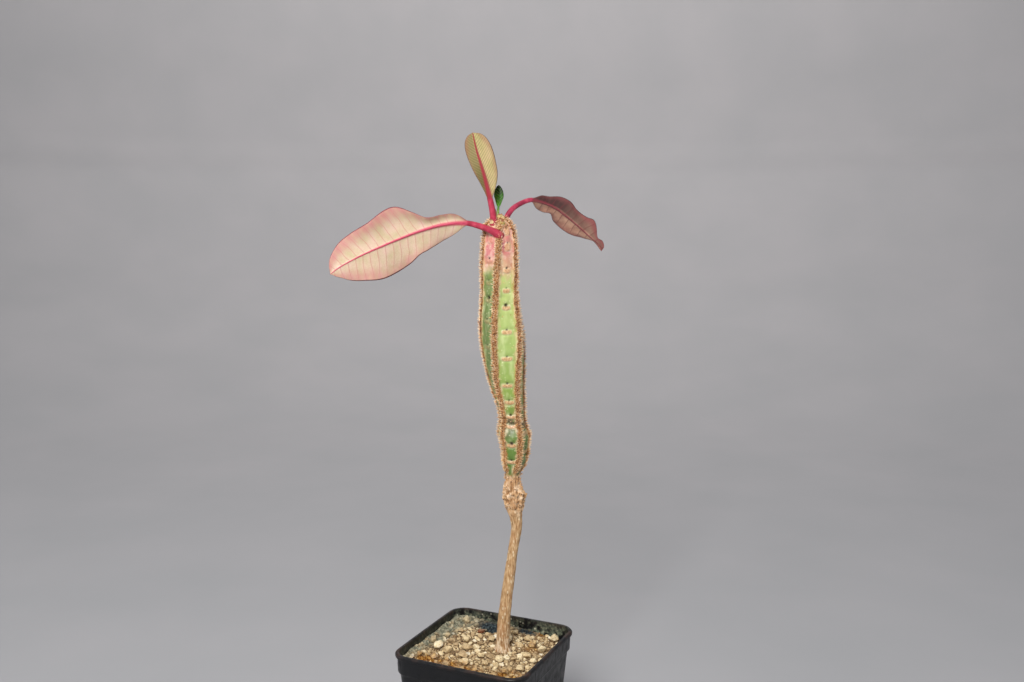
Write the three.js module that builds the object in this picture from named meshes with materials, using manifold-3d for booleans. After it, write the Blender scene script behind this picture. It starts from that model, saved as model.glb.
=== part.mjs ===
// A potted euphorbia: a young ribbed succulent with three leaves, in a square pot of gritty mix.
// Units are millimetres and +Z is up. The origin is the centre of the pot's underside, and X and Y
// run along the pot's sides. The plant stands in a group of its own, turned about the root collar.
import * as THREE from 'three';
import { mergeVertices } from 'three/addons/utils/BufferGeometryUtils.js';
import Module from 'manifold-3d';

const wasm = await Module();
wasm.setup();

const { Vector3 } = THREE;
const { degToRad, lerp, clamp } = THREE.MathUtils;
const FULL_TURN = 2 * Math.PI;

// ---- Driving dimensions ---------------------------------------------------------------------

const FIT_GAP = 0.3;                    // clearance between pieces that touch

const POT_WIDTH = 90;                   // over the lip
const POT_HEIGHT = 80;
const POT_CORNER = 11;                  // corner radius of the lip
const POT_WALL = 1.2;
const POT_TAPER = degToRad(4.8);        // lean of each wall below the shoulder
const LIP_DEPTH = 2.5;
const LIP_OVERHANG = 1.2;
const LIP_ROUND = 0.8;
const COLLAR_DEPTH = 12;                // from the top edge down to the shoulder
const COLLAR_TAPER = degToRad(2);
const SHOULDER_DEPTH = 2.2;
const SHOULDER_STEP = 1.65;
const FLOOR_CLEARANCE = 2;              // underside of the floor above the table
const FLOOR_THICKNESS = 1.2;
const FOOT_DIAMETER = 14;               // flat pad in the middle of the underside
const NOTCH_WIDTH = 20;                 // drainage notch in the middle of each side's skirt
const NOTCH_HEIGHT = 1.5;
const DRAIN_DIAMETER = 5;
const DRAIN_CIRCLE = 50;                // diameter of the circle that the drain holes lie on
const DRAIN_COUNT = 8;

const MIX_HEADSPACE = 7.6;              // from the top edge down to the mix's middle level
const MIX_TILT = 0.022;                 // fall of the surface towards +X, per millimetre
const MIX_RIPPLE = 0.45;                // height of its gentle unevenness
const HOLLOW_DEPTH = 2.6;               // hollow behind the stem, near the back wall
const HOLLOW_RADIUS = 8;
const HOLLOW_X = -12.6;
const HOLLOW_INSET = 8;                 // its middle, in from the wall
const CORNER_DIP = 1.4;                 // the mix has settled in the back right corner
const CORNER_DIP_RADIUS = 24;
const CORNER_DIP_INSET = 5;

const GRIT_COUNT = 37;
const GRIT_SPARE_PLACES = 5;            // places laid out besides, as some are at the stem or chip
const GRIT_SMALLEST = 4.2;              // longest side of a stone
const GRIT_LARGEST = 7.6;
const GRIT_LEAN = 0.35;                 // greatest lean from side to side, in radians
const CHIP_LENGTH = 6.5;
const CHIP_WIDTH = 4.5;
const CHIP_THICKNESS = 1.1;
const CHIP_PLACE = [-16.2, 25.6];
const CHIP_LEAN = degToRad(10);
const CHIP_TURN = degToRad(35);

const STEM_HEIGHT = 277;                // from the root collar to the growing tip
const STEM_RADIUS = 13.5;               // greatest radius, over the ridges
const STEM_OFFSET = [9.2, 5.4];         // root collar, off the middle of the pot
const STEM_RIDGES = 5;
const STEM_TWIST = degToRad(0.36);      // turn of the ridges per millimetre of height
const RIDGE_START = degToRad(-46);      // front left ridge, seen from the front, at RIDGE_LEVEL
const RIDGE_LEVEL = 140;
const PANEL_SINK = 0.15;                // how far the panels lie inside the ridges, of the radius
const PLANT_TURN = degToRad(24.8);      // the plant's front against the pot's front side

const TAPROOT_CLEARANCE = 13.5;         // between the taproot's tip and the bottom of the mix
const ROOT_COUNT = 4;
const ROOT_RADIUS = 1.7;
const ROOT_TIP_RADIUS = 0.6;
const ROOT_CLEARANCE = 2;               // between the roots' tips and the side of the mix
const ROOT_DROP = 14;                   // fall of each root from the taproot to its tip

const LEFT_LEAF_REACH = 106;            // straight stretch from the leaf's root to its tip
const LEFT_LEAF_WIDTH = 38;
const TOP_LEAF_REACH = 63;
const TOP_LEAF_WIDTH = 16;
const RIGHT_LEAF_REACH = 78;
const RIGHT_LEAF_WIDTH = 19;
const YOUNG_LEAF_REACH = 27;
const YOUNG_LEAF_WIDTH = 4.6;
const LEAF_THICKNESS = 0.8;

// ---- Shaping helpers ------------------------------------------------------------------------

// A repeatable value from 0 to 1 for each whole number and kind.
function chance(number, kind) {
  const wave = Math.sin(number * 12.9898 + kind * 78.233) * 43758.5453;
  return wave - Math.floor(wave);
}

// A smooth curve through [place, value] pairs.
function smoothly(pairs) {
  const places = pairs.map(([place]) => place);
  const values = pairs.map(([, value]) => value);
  const cubic = new THREE.CubicInterpolant(places, values, 1, new Float32Array(1));
  return (place) => cubic.evaluate(clamp(place, places[0], places.at(-1)))[0];
}

// A closed skin: `rings` rings of `sides` points each, with the two end rings filled over their
// middle. pointAt(side, ring) gives each point, counted anticlockwise round the way it travels.
function closedSkin(sides, rings, pointAt) {
  const cylinder = new THREE.CylinderGeometry(1, 1, 1, sides, rings - 1);
  cylinder.rotateX(Math.PI / 2);
  cylinder.deleteAttribute('normal');
  cylinder.deleteAttribute('uv');
  const skin = mergeVertices(cylinder);
  const position = skin.attributes.position;
  for (let i = 0; i < position.count; i += 1) {
    const x = position.getX(i);
    const y = position.getY(i);
    const ring = Math.round((position.getZ(i) + 0.5) * (rings - 1));
    const point = new Vector3();
    if (Math.hypot(x, y) > 0.5) {
      const side = Math.round((Math.atan2(y, x) / FULL_TURN) * sides + sides) % sides;
      point.copy(pointAt(side, ring));
    } else {
      for (let side = 0; side < sides; side += 1) {
        point.addScaledVector(pointAt(side, ring), 1 / sides);
      }
    }
    position.setXYZ(i, point.x, point.y, point.z);
  }
  return skin;
}

function toSolid(geometry) {
  const bare = geometry.clone();
  bare.deleteAttribute('normal');
  bare.deleteAttribute('uv');
  const merged = mergeVertices(bare);
  return new wasm.Manifold(new wasm.Mesh({
    numProp: 3,
    vertProperties: new Float32Array(merged.attributes.position.array),
    triVerts: new Uint32Array(merged.index.array),
  }));
}

function toGeometry(solid) {
  const { vertProperties, triVerts } = solid.getMesh();
  const geometry = new THREE.BufferGeometry();
  geometry.setAttribute('position', new THREE.BufferAttribute(vertProperties, 3));
  geometry.setIndex(new THREE.BufferAttribute(triVerts, 1));
  geometry.computeVertexNormals();
  return geometry;
}

function piece(name, geometry, color, roughness) {
  const material = new THREE.MeshStandardMaterial({ color, roughness, metalness: 0 });
  const mesh = new THREE.Mesh(geometry, material);
  mesh.name = name;
  return mesh;
}

// ---- Pot ------------------------------------------------------------------------------------

const lipHalf = POT_WIDTH / 2;
const mixLevel = POT_HEIGHT - MIX_HEADSPACE;
const lipBottom = POT_HEIGHT - LIP_DEPTH;
const shoulderTop = POT_HEIGHT - COLLAR_DEPTH;
const shoulderBottom = shoulderTop - SHOULDER_DEPTH;
const floorTop = FLOOR_CLEARANCE + FLOOR_THICKNESS;
const collarHalf = lipHalf - LIP_OVERHANG;
const shoulderHalf = collarHalf - (lipBottom - shoulderTop) * Math.tan(COLLAR_TAPER);
const wallTopHalf = shoulderHalf - SHOULDER_STEP;

// Half the width over the outside of the pot's wall, without its lip.
function wallHalf(z) {
  if (z >= lipBottom) {
    return collarHalf;
  }
  if (z >= shoulderTop) {
    return collarHalf - (lipBottom - z) * Math.tan(COLLAR_TAPER);
  }
  if (z >= shoulderBottom) {
    return lerp(wallTopHalf, shoulderHalf, (z - shoulderBottom) / SHOULDER_DEPTH);
  }
  return wallTopHalf - (shoulderBottom - z) * Math.tan(POT_TAPER);
}

// Corner radius of the wall's outside: the corners of the collar and lip share one centre, and
// below the shoulder the radius stays the same down to the table.
function wallCorner(z) {
  const half = Math.max(wallHalf(z), wallTopHalf);
  return POT_CORNER - (lipHalf - half);
}

const CORNER_STEPS = 6;
const SQUARE_SIDES = 4 * (CORNER_STEPS + 1);

// One of SQUARE_SIDES points of a square with round corners.
function squarePoint(index, half, corner, z) {
  const quarter = Math.floor(index / (CORNER_STEPS + 1));
  const step = index % (CORNER_STEPS + 1);
  const angle = ((quarter + step / CORNER_STEPS) * Math.PI) / 2;
  const middle = new Vector3(half - corner, half - corner, 0);
  middle.applyAxisAngle(new Vector3(0, 0, 1), (quarter * Math.PI) / 2);
  return new Vector3(
    middle.x + corner * Math.cos(angle),
    middle.y + corner * Math.sin(angle),
    z,
  );
}

function makePot() {
  const outside = (z) => [wallHalf(z), wallCorner(z), z];
  const inside = (z) => [wallHalf(z) - POT_WALL, wallCorner(z) - POT_WALL, z];
  const skirtInside = [wallHalf(0) - POT_WALL, wallCorner(0) - POT_WALL];
  const outline = [
    [...skirtInside, FLOOR_CLEARANCE],
    [...skirtInside, 0],
    outside(0),
    outside(shoulderBottom),
    outside(shoulderTop),
    outside(lipBottom),
    [lipHalf, POT_CORNER, lipBottom],
    [lipHalf, POT_CORNER, POT_HEIGHT - LIP_ROUND],
    [lipHalf - LIP_ROUND, POT_CORNER - LIP_ROUND, POT_HEIGHT],
    inside(POT_HEIGHT),
    inside(shoulderTop),
    inside(shoulderBottom),
    inside(floorTop),
  ];
  const shell = closedSkin(SQUARE_SIDES, outline.length, (side, ring) => {
    const [half, corner, z] = outline[ring];
    return squarePoint(side, half, corner, z);
  });
  let pot = toSolid(shell);

  const footHeight = FLOOR_CLEARANCE + FLOOR_THICKNESS / 2;
  const foot = new THREE.CylinderGeometry(FOOT_DIAMETER / 2, FOOT_DIAMETER / 2, footHeight, 24);
  foot.rotateX(Math.PI / 2);
  foot.translate(0, 0, footHeight / 2);
  pot = pot.add(toSolid(foot));

  for (let i = 0; i < DRAIN_COUNT; i += 1) {
    const hole = new THREE.CylinderGeometry(DRAIN_DIAMETER / 2, DRAIN_DIAMETER / 2, floorTop * 2, 14);
    hole.rotateX(Math.PI / 2);
    hole.translate(DRAIN_CIRCLE / 2, 0, floorTop);
    hole.rotateZ(((i + 0.5) * FULL_TURN) / DRAIN_COUNT);
    pot = pot.subtract(toSolid(hole));
  }
  for (let i = 0; i < 4; i += 1) {
    const notch = new THREE.BoxGeometry(POT_WALL * 4, NOTCH_WIDTH, NOTCH_HEIGHT * 2);
    notch.translate(wallHalf(0), 0, 0);
    notch.rotateZ((i * FULL_TURN) / 4);
    pot = pot.subtract(toSolid(notch));
  }
  return toGeometry(pot);
}

// ---- Stem and roots -------------------------------------------------------------------------

// Share of the stem's height, sideways lean in millimetres, and share of the greatest radius.
// Below 0 it is the share of the taproot's depth. The woody foot is slim, with a knobbly swelling
// above a kink; the ribbed body starts with a short bulge, narrows at a crease and is thickest
// two thirds up.
const STEM_PROFILE = [
  [-1, 2, 0.05],
  [-0.63, 1, 0.17],
  [-0.22, 0.2, 0.33],
  [0, 0, 0.32],
  [0.08, 1.1, 0.29],
  [0.166, 3.9, 0.26],
  [0.253, 7.2, 0.23],
  [0.296, 9, 0.25],
  [0.336, 7.8, 0.34],
  [0.372, 7.2, 0.43],
  [0.404, 6.4, 0.31],
  [0.422, 6.5, 0.35],
  [0.448, 7.4, 0.53],
  [0.487, 7.5, 0.64],
  [0.509, 6.9, 0.73],
  [0.542, 6.2, 0.58],
  [0.578, 5.2, 0.62],
  [0.621, 3.1, 0.77],
  [0.671, 1.8, 0.91],
  [0.722, 0.8, 1],
  [0.776, -0.4, 0.94],
  [0.823, -1, 0.83],
  [0.892, -1.5, 0.81],
  [0.953, -1.6, 0.73],
  [0.982, -2, 0.58],
  [1, -2.2, 0.2],
];
const stemLean = smoothly(STEM_PROFILE.map(([share, lean]) => [share, lean]));
const stemGirth = smoothly(STEM_PROFILE.map(([share, , girth]) => [share, girth]));
const stemRibbing = smoothly([[0, 0], [0.34, 0], [0.4, 0.3], [0.47, 0.7], [0.6, 1], [1, 1]]);

const STEM_SIDES = STEM_RIDGES * 4;
const RIDGE_SHARPNESS = 4.5;
const taprootDepth = mixLevel - floorTop - FIT_GAP - TAPROOT_CLEARANCE;

function stemAxis(share) {
  return new Vector3(stemLean(share), 0, share * (share < 0 ? taprootDepth : STEM_HEIGHT));
}

// The stem with its taproot, grown outwards by `grow`.
function stemSkin(grow) {
  const shares = STEM_PROFILE.flatMap(([share], i) => {
    const next = STEM_PROFILE[i + 1];
    return next ? [share, (share + next[0]) / 2] : [share];
  });
  const last = shares.length - 1;
  return closedSkin(STEM_SIDES, shares.length, (side, ring) => {
    const share = shares[ring];
    const axis = stemAxis(share);
    const twist = RIDGE_START + (axis.z - RIDGE_LEVEL) * STEM_TWIST - Math.PI / 2;
    const angle = (side / STEM_SIDES) * FULL_TURN;
    const crest = Math.abs(Math.cos((STEM_RIDGES / 2) * angle)) ** RIDGE_SHARPNESS;
    const sink = 1 - stemRibbing(share) * PANEL_SINK * (1 - crest);
    const radius = stemGirth(share) * STEM_RADIUS * sink + grow;
    const end = ring === 0 ? -grow : (ring === last ? grow : 0);
    return new Vector3(
      axis.x + radius * Math.cos(angle + twist),
      axis.y + radius * Math.sin(angle + twist),
      axis.z + end,
    );
  });
}

// A tapering root along a curve, grown outwards by `grow`.
function rootSkin(curve, grow) {
  const rings = 9;
  const sides = 8;
  const { tangents, normals, binormals } = curve.computeFrenetFrames(rings - 1);
  return closedSkin(sides, rings, (side, ring) => {
    const along = ring / (rings - 1);
    const angle = (side / sides) * FULL_TURN;
    const radius = lerp(ROOT_RADIUS, ROOT_TIP_RADIUS, along) + grow;
    const point = curve.getPointAt(along);
    point.addScaledVector(normals[ring], radius * Math.cos(angle));
    point.addScaledVector(binormals[ring], radius * Math.sin(angle));
    point.addScaledVector(tangents[ring], ring === rings - 1 ? grow : 0);
    return point;
  });
}

function makeStem(grow) {
  let stem = toSolid(stemSkin(grow));
  for (let i = 0; i < ROOT_COUNT; i += 1) {
    const start = stemAxis(-0.17 - 0.1 * i);
    const mixHalf = wallHalf(mixLevel + start.z - ROOT_DROP) - POT_WALL - FIT_GAP;
    const reach = mixHalf - ROOT_CLEARANCE - Math.hypot(...STEM_OFFSET);
    const heading = (i / ROOT_COUNT) * FULL_TURN + chance(i, 1);
    const away = new Vector3(Math.cos(heading), Math.sin(heading), 0);
    const steps = [[0, 0], [0.4, 0.15], [0.75, 0.5], [1, 1]];
    const curve = new THREE.CatmullRomCurve3(steps.map(([out, down]) => {
      const point = start.clone().addScaledVector(away, reach * out);
      point.z -= ROOT_DROP * down;
      return point;
    }));
    stem = stem.add(toSolid(rootSkin(curve, grow)));
  }
  return stem;
}

// ---- Potting mix ----------------------------------------------------------------------------

// Distance from the middle to a square with round corners, along an angle.
function squareReach(angle, half, corner) {
  const turned = Math.abs(((angle + Math.PI / 4) % (Math.PI / 2)) - Math.PI / 4);
  const straight = half / Math.cos(turned);
  if (straight * Math.sin(turned) <= half - corner) {
    return straight;
  }
  const middle = Math.hypot(half - corner, half - corner);
  const apart = Math.PI / 4 - turned;
  return middle * Math.cos(apart) + Math.sqrt(corner ** 2 - (middle * Math.sin(apart)) ** 2);
}

function bump(x, y, radius) {
  return Math.exp(-(x * x + y * y) / (radius * radius));
}

const mixHalf = wallHalf(mixLevel) - POT_WALL - FIT_GAP;

function mixHeight(x, y) {
  const waves = Math.sin(x * 0.23 + 0.7) * Math.cos(y * 0.19) + Math.sin(y * 0.31 + x * 0.11);
  const hollowY = mixHalf - HOLLOW_INSET;
  const hollow = HOLLOW_DEPTH * bump(x - HOLLOW_X, y - hollowY, HOLLOW_RADIUS);
  const dipMiddle = mixHalf - CORNER_DIP_INSET;
  const dip = CORNER_DIP * bump(x - dipMiddle, y - dipMiddle, CORNER_DIP_RADIUS);
  return mixLevel - MIX_TILT * x + MIX_RIPPLE * waves - hollow - dip;
}

function makeMix(plant) {
  const sides = 48;
  const walls = [floorTop + FIT_GAP, (floorTop + shoulderBottom) / 2, shoulderBottom, shoulderTop];
  const surface = [1, 0.9, 0.78, 0.65, 0.52, 0.39, 0.26, 0.13];
  const skin = closedSkin(sides, walls.length + surface.length, (side, ring) => {
    const angle = ((side + 0.5) / sides) * FULL_TURN;
    const onWall = ring < walls.length;
    const edge = onWall ? walls[ring] : mixLevel;
    const inset = POT_WALL + FIT_GAP;
    const share = onWall ? 1 : surface[ring - walls.length];
    const reach = share * squareReach(angle, wallHalf(edge) - inset, wallCorner(edge) - inset);
    const x = reach * Math.cos(angle);
    const y = reach * Math.sin(angle);
    return new Vector3(x, y, onWall ? edge : mixHeight(x, y));
  });
  const rootSpace = makeStem(FIT_GAP).transform(plant.matrix.toArray());
  return toGeometry(toSolid(skin).subtract(rootSpace));
}

// ---- Stones and chip on the mix --------------------------------------------------------------

const raycaster = new THREE.Raycaster();

// Lowers a mesh onto the mix until its nearest point is FIT_GAP above it.
function seatOnMix(mesh, mix) {
  mesh.updateMatrix();
  const position = mesh.geometry.attributes.position;
  const down = new Vector3(0, 0, -1);
  const point = new Vector3();
  let clearance = Infinity;
  for (let i = 0; i < position.count; i += 1) {
    point.fromBufferAttribute(position, i).applyMatrix4(mesh.matrix);
    raycaster.set(new Vector3(point.x, point.y, POT_HEIGHT * 2), down);
    const [hit] = raycaster.intersectObject(mix, false);
    if (hit) {
      clearance = Math.min(clearance, point.z - hit.point.z);
    }
  }
  mesh.position.z += FIT_GAP - clearance;
}

function makeStone(number) {
  const size = lerp(GRIT_SMALLEST, GRIT_LARGEST, chance(number, 2)) / 2;
  const ball = new THREE.IcosahedronGeometry(1, 1);
  ball.deleteAttribute('normal');
  ball.deleteAttribute('uv');
  const stone = mergeVertices(ball);
  const position = stone.attributes.position;
  const point = new Vector3();
  for (let i = 0; i < position.count; i += 1) {
    point.fromBufferAttribute(position, i);
    point.multiplyScalar(0.9 + 0.2 * chance(number * position.count + i, 3));
    position.setXYZ(i, point.x, point.y, point.z);
  }
  const width = size * lerp(0.72, 0.92, chance(number, 4));
  const height = size * lerp(0.5, 0.7, chance(number, 5));
  stone.scale(size, width, height);
  return stone;
}

// Lays `count` places evenly over the mix, and keeps those clear of the stem and the chip.
function layOutPlaces(count, chipPlace) {
  const goldenTurn = Math.PI * (3 - Math.sqrt(5));
  const half = mixHalf - GRIT_LARGEST / 2;
  const stem = new Vector3(...STEM_OFFSET, 0);
  const clearOfStem = STEM_RADIUS * 0.45 + GRIT_LARGEST;
  const clearOfChip = (CHIP_LENGTH + GRIT_LARGEST) * 0.7;
  const places = [];
  for (let number = 0; number < count; number += 1) {
    const angle = number * goldenTurn;
    const share = Math.sqrt((number + 0.5) / count);
    const reach = share * squareReach(angle % FULL_TURN, half, POT_CORNER / 2);
    const place = new Vector3(reach * Math.cos(angle), reach * Math.sin(angle), 0);
    if (place.distanceTo(stem) >= clearOfStem && place.distanceTo(chipPlace) >= clearOfChip) {
      places.push({ number, place });
    }
  }
  return places;
}

// Stones spread evenly over the mix, round the stem and the chip.
function makeGrit(mix, chipPlace) {
  let count = GRIT_COUNT + GRIT_SPARE_PLACES;
  let places = layOutPlaces(count, chipPlace);
  while (places.length < GRIT_COUNT) {
    count += 1;
    places = layOutPlaces(count, chipPlace);
  }
  const grit = new THREE.Group();
  for (const { number, place } of places.slice(0, GRIT_COUNT)) {
    const name = `grit_${String(grit.children.length + 1).padStart(2, '0')}`;
    const tone = lerp(0.55, 0.85, chance(number, 6));
    const color = new THREE.Color(tone, tone * 0.84, tone * 0.62);
    const stone = piece(name, makeStone(number), color, 0.95);
    stone.position.copy(place);
    const lean = [7, 8].map((salt) => (chance(number, salt) - 0.5) * GRIT_LEAN);
    stone.rotation.set(...lean, FULL_TURN * chance(number, 9));
    seatOnMix(stone, mix);
    grit.add(stone);
  }
  return grit;
}

function makeChip() {
  const outline = [1, 0.86, 1.04, 0.8, 0.97, 0.9, 1.05, 0.82];
  return closedSkin(outline.length, 2, (side, ring) => {
    const angle = (side / outline.length) * FULL_TURN;
    const reach = outline[side] * (ring === 0 ? 1 : 0.86);
    return new Vector3(
      (reach * Math.cos(angle) * CHIP_LENGTH) / 2,
      (reach * Math.sin(angle) * CHIP_WIDTH) / 2,
      ring * CHIP_THICKNESS,
    );
  });
}

// ---- Leaves ---------------------------------------------------------------------------------

// Each leaf starts inside the stem, `height` up it, and follows `midrib`, whose points are steps
// from the stem's axis. `left` and `right` are the blade's halves as seen from above the leaf,
// looking to the tip: the share of the blade's length and the half width as a share of its width.
// `leftwards` points from the midrib to the left half, at the stalk and at the tip. The halves are
// folded up by `fold` and their edges wave by `wave` millimetres, `waves` times.
const LEAVES = [
  {
    name: 'leaf_left',
    height: 0.951,
    reach: LEFT_LEAF_REACH,
    width: LEFT_LEAF_WIDTH,
    stalk: 0.235,
    stalkRadius: [2.3, 1.6],
    midrib: [
      [1.6, -3.8, 0],
      [-1.6, -9, 3.4],
      [-11.5, -11.2, 7.6],
      [-21.7, -13.7, 9.7],
      [-33.7, -16.7, 8.5],
      [-45.6, -19.6, 5.2],
      [-57.5, -22.6, 0.7],
      [-69.2, -25.6, -4.3],
      [-80.8, -28.5, -9.6],
      [-92.4, -31.5, -16],
      [-97.6, -32.8, -20],
    ],
    left: [[0, 0.045], [0.08, 0.14], [0.16, 0.16], [0.27, 0.19], [0.34, 0.32], [0.42, 0.47], [0.5, 0.49],
      [0.64, 0.42], [0.76, 0.37], [0.87, 0.3], [0.94, 0.19], [0.98, 0.08], [1, 0.02]],
    right: [[0, 0.045], [0.07, 0.17], [0.17, 0.28], [0.3, 0.345], [0.38, 0.37], [0.46, 0.46], [0.56, 0.515],
      [0.68, 0.5], [0.8, 0.4], [0.9, 0.28], [0.96, 0.15], [1, 0.02]],
    leftwards: [[0.3, -0.2, 0.93], [0.4, 0.05, 0.9]],
    fold: degToRad(6),
    wave: 1.4,
    waves: 2.5,
    color: 0xd9c08e,
  },
  {
    name: 'leaf_top',
    height: 0.962,
    reach: TOP_LEAF_REACH,
    width: TOP_LEAF_WIDTH,
    stalk: 0.36,
    stalkRadius: [2.2, 1.7],
    midrib: [
      [-1.5, -3, 0],
      [-3.1, -4.3, 6.4],
      [-4.2, -6.7, 14.7],
      [-5.7, -8.7, 21.9],
      [-8, -11.4, 31.7],
      [-10.2, -13.7, 39.4],
      [-12.9, -16.2, 48.2],
      [-15, -18.9, 57.8],
    ],
    left: [[0, 0.11], [0.1, 0.27], [0.2, 0.4], [0.33, 0.51], [0.5, 0.56], [0.66, 0.575], [0.8, 0.53],
      [0.91, 0.4], [0.97, 0.23], [1, 0.04]],
    right: [[0, 0.1], [0.1, 0.14], [0.23, 0.22], [0.43, 0.34], [0.66, 0.41], [0.82, 0.4], [0.92, 0.31],
      [0.98, 0.15], [1, 0.04]],
    leftwards: [[0.95, 0.1, 0.2], [0.9, -0.1, 0.28]],
    fold: degToRad(10),
    wave: 0.3,
    waves: 2,
    color: 0xc9b47a,
  },
  {
    name: 'leaf_right',
    height: 0.964,
    reach: RIGHT_LEAF_REACH,
    width: RIGHT_LEAF_WIDTH,
    stalk: 0.34,
    stalkRadius: [1.9, 1.4],
    midrib: [
      [1.4, 2.5, 0],
      [3, 4.6, 6.4],
      [7.5, 7.5, 14.2],
      [13.4, 11.4, 18.4],
      [19.5, 15.2, 20.6],
      [23.1, 17.5, 20.2],
      [28.7, 21, 18.6],
      [35.4, 25.1, 15.8],
      [43, 29.7, 10.4],
      [50.7, 34.3, 4.3],
      [58.6, 38.9, -2.5],
      [65.9, 43, -8.6],
      [67.2, 44, -12.4],
    ],
    left: [[0, 0.06], [0.09, 0.25], [0.2, 0.33], [0.3, 0.27], [0.42, 0.45], [0.55, 0.5], [0.68, 0.42],
      [0.78, 0.24], [0.86, 0.08], [0.93, 0.09], [0.97, 0.07], [1, 0.02]],
    right: [[0, 0.06], [0.1, 0.2], [0.2, 0.24], [0.32, 0.42], [0.42, 0.45], [0.52, 0.36], [0.64, 0.38],
      [0.72, 0.47], [0.8, 0.34], [0.87, 0.13], [0.93, 0.15], [0.97, 0.1], [1, 0.02]],
    leftwards: [[-0.35, 0.1, -0.9], [-0.75, 0.3, -0.55]],
    fold: degToRad(36),
    wave: 1.1,
    waves: 2.5,
    color: 0x9a5a50,
  },
  {
    name: 'young_leaf',
    height: 0.972,
    reach: YOUNG_LEAF_REACH,
    width: YOUNG_LEAF_WIDTH,
    stalk: 0.52,
    stalkRadius: [0.9, 0.7],
    midrib: [
      [-0.3, 1.5, 0],
      [-0.8, 2.2, 6],
      [-0.5, 3, 12],
      [0, 3.2, 18],
      [-0.2, 3, 24.8],
    ],
    left: [[0, 0.16], [0.25, 0.34], [0.5, 0.5], [0.75, 0.42], [0.92, 0.22], [1, 0.05]],
    right: [[0, 0.16], [0.25, 0.34], [0.5, 0.5], [0.75, 0.42], [0.92, 0.22], [1, 0.05]],
    leftwards: [[0.9, 0.2, 0], [0.9, 0.3, 0]],
    fold: degToRad(20),
    wave: 0,
    waves: 1,
    color: 0x3f7a1e,
  },
];

const LEAF_SIDES = 12;
const STALK_RINGS = 6;
const BLADE_RINGS = 19;

// One closed skin: a round stalk that flattens into a thin blade with sharp edges.
function leafSkin(leaf) {
  const root = new Vector3(...leaf.midrib[0]);
  const tip = new Vector3(...leaf.midrib.at(-1));
  const stretch = leaf.reach / root.distanceTo(tip);
  const steps = leaf.midrib.map((step) => {
    const point = new Vector3(...step).sub(root).multiplyScalar(stretch);
    return point.add(root);
  });
  const midrib = new THREE.CatmullRomCurve3(steps, false, 'centripetal');
  const left = smoothly(leaf.left);
  const right = smoothly(leaf.right);
  const [leftAtStalk, leftAtTip] = leaf.leftwards.map((way) => new Vector3(...way));
  return closedSkin(LEAF_SIDES, STALK_RINGS + BLADE_RINGS, (side, ring) => {
    const onStalk = ring < STALK_RINGS;
    const stalkShare = onStalk ? ring / STALK_RINGS : 1;
    const bladeShare = onStalk ? 0 : (ring - STALK_RINGS) / (BLADE_RINGS - 1);
    const along = onStalk ? stalkShare * leaf.stalk : lerp(leaf.stalk, 1, bladeShare);
    const centre = midrib.getPointAt(along);
    const forward = midrib.getTangentAt(along);
    const across = leftAtStalk.clone().lerp(leftAtTip, bladeShare);
    across.addScaledVector(forward, -across.dot(forward)).normalize();
    const up = forward.clone().cross(across);

    const angle = (side / LEAF_SIDES) * FULL_TURN;
    const reach = Math.cos(angle);
    const stalkRadius = lerp(...leaf.stalkRadius, stalkShare);
    const halfWidth = (reach > 0 ? left(bladeShare) : right(bladeShare)) * leaf.width;
    const width = onStalk ? stalkRadius : halfWidth;
    const flatness = clamp(bladeShare * 6, 0, 1);
    const thinning = lerp(1, 0.6, bladeShare);
    const halfThickness = lerp(stalkRadius, LEAF_THICKNESS / 2, flatness) * thinning;
    const folded = Math.abs(reach) * width * Math.tan(leaf.fold);
    const phase = bladeShare * leaf.waves * FULL_TURN + Math.sign(reach);
    const calming = Math.min(1, 4 * (1 - bladeShare));
    const waved = leaf.wave * reach * reach * Math.sin(phase) * calming;
    const lift = flatness * (folded + waved);
    centre.addScaledVector(across, reach * width);
    centre.addScaledVector(up, Math.sin(angle) * halfThickness + lift);
    return centre;
  });
}

function makeLeaf(leaf, stemSpace) {
  const origin = stemAxis(leaf.height);
  const skin = leafSkin(leaf);
  skin.translate(origin.x, origin.y, origin.z);
  return toGeometry(toSolid(skin).subtract(stemSpace));
}

// ---- Assembly -------------------------------------------------------------------------------

const plant = new THREE.Group();
plant.position.set(...STEM_OFFSET, mixLevel);
plant.rotation.z = PLANT_TURN;
plant.updateMatrix();

const stemSpace = makeStem(FIT_GAP);
plant.add(piece('stem', toGeometry(makeStem(0)), 0x9caf62, 0.6));
for (const leaf of LEAVES) {
  plant.add(piece(leaf.name, makeLeaf(leaf, stemSpace), leaf.color, 0.5));
}

const pot = piece('pot', makePot(), 0x17171a, 0.45);
const mix = piece('potting_mix', makeMix(plant), 0xb59a75, 1);
mix.updateMatrixWorld();

const chip = piece('brown_chip', makeChip(), 0x6b3a22, 0.9);
chip.position.set(...CHIP_PLACE, 0);
chip.rotation.set(CHIP_LEAN, -CHIP_LEAN, CHIP_TURN);
seatOnMix(chip, mix);

const euphorbia = new THREE.Group();
euphorbia.add(pot, mix, chip, makeGrit(mix, new Vector3(...CHIP_PLACE, 0)), plant);

export default euphorbia;
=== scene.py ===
"""A potted euphorbia: its pot, mix, stones, stem, bristles and leaves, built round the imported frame.

The making sections work in millimetres. The pot and its mix stand in the frame's own axes. The plant
is made upright round its root collar, with its front towards -Y, and is then turned into the frame.
"""

from functools import partial
import math

import bmesh
import bpy
import numpy as np
from mathutils import Euler, Matrix, Vector, noise


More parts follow.
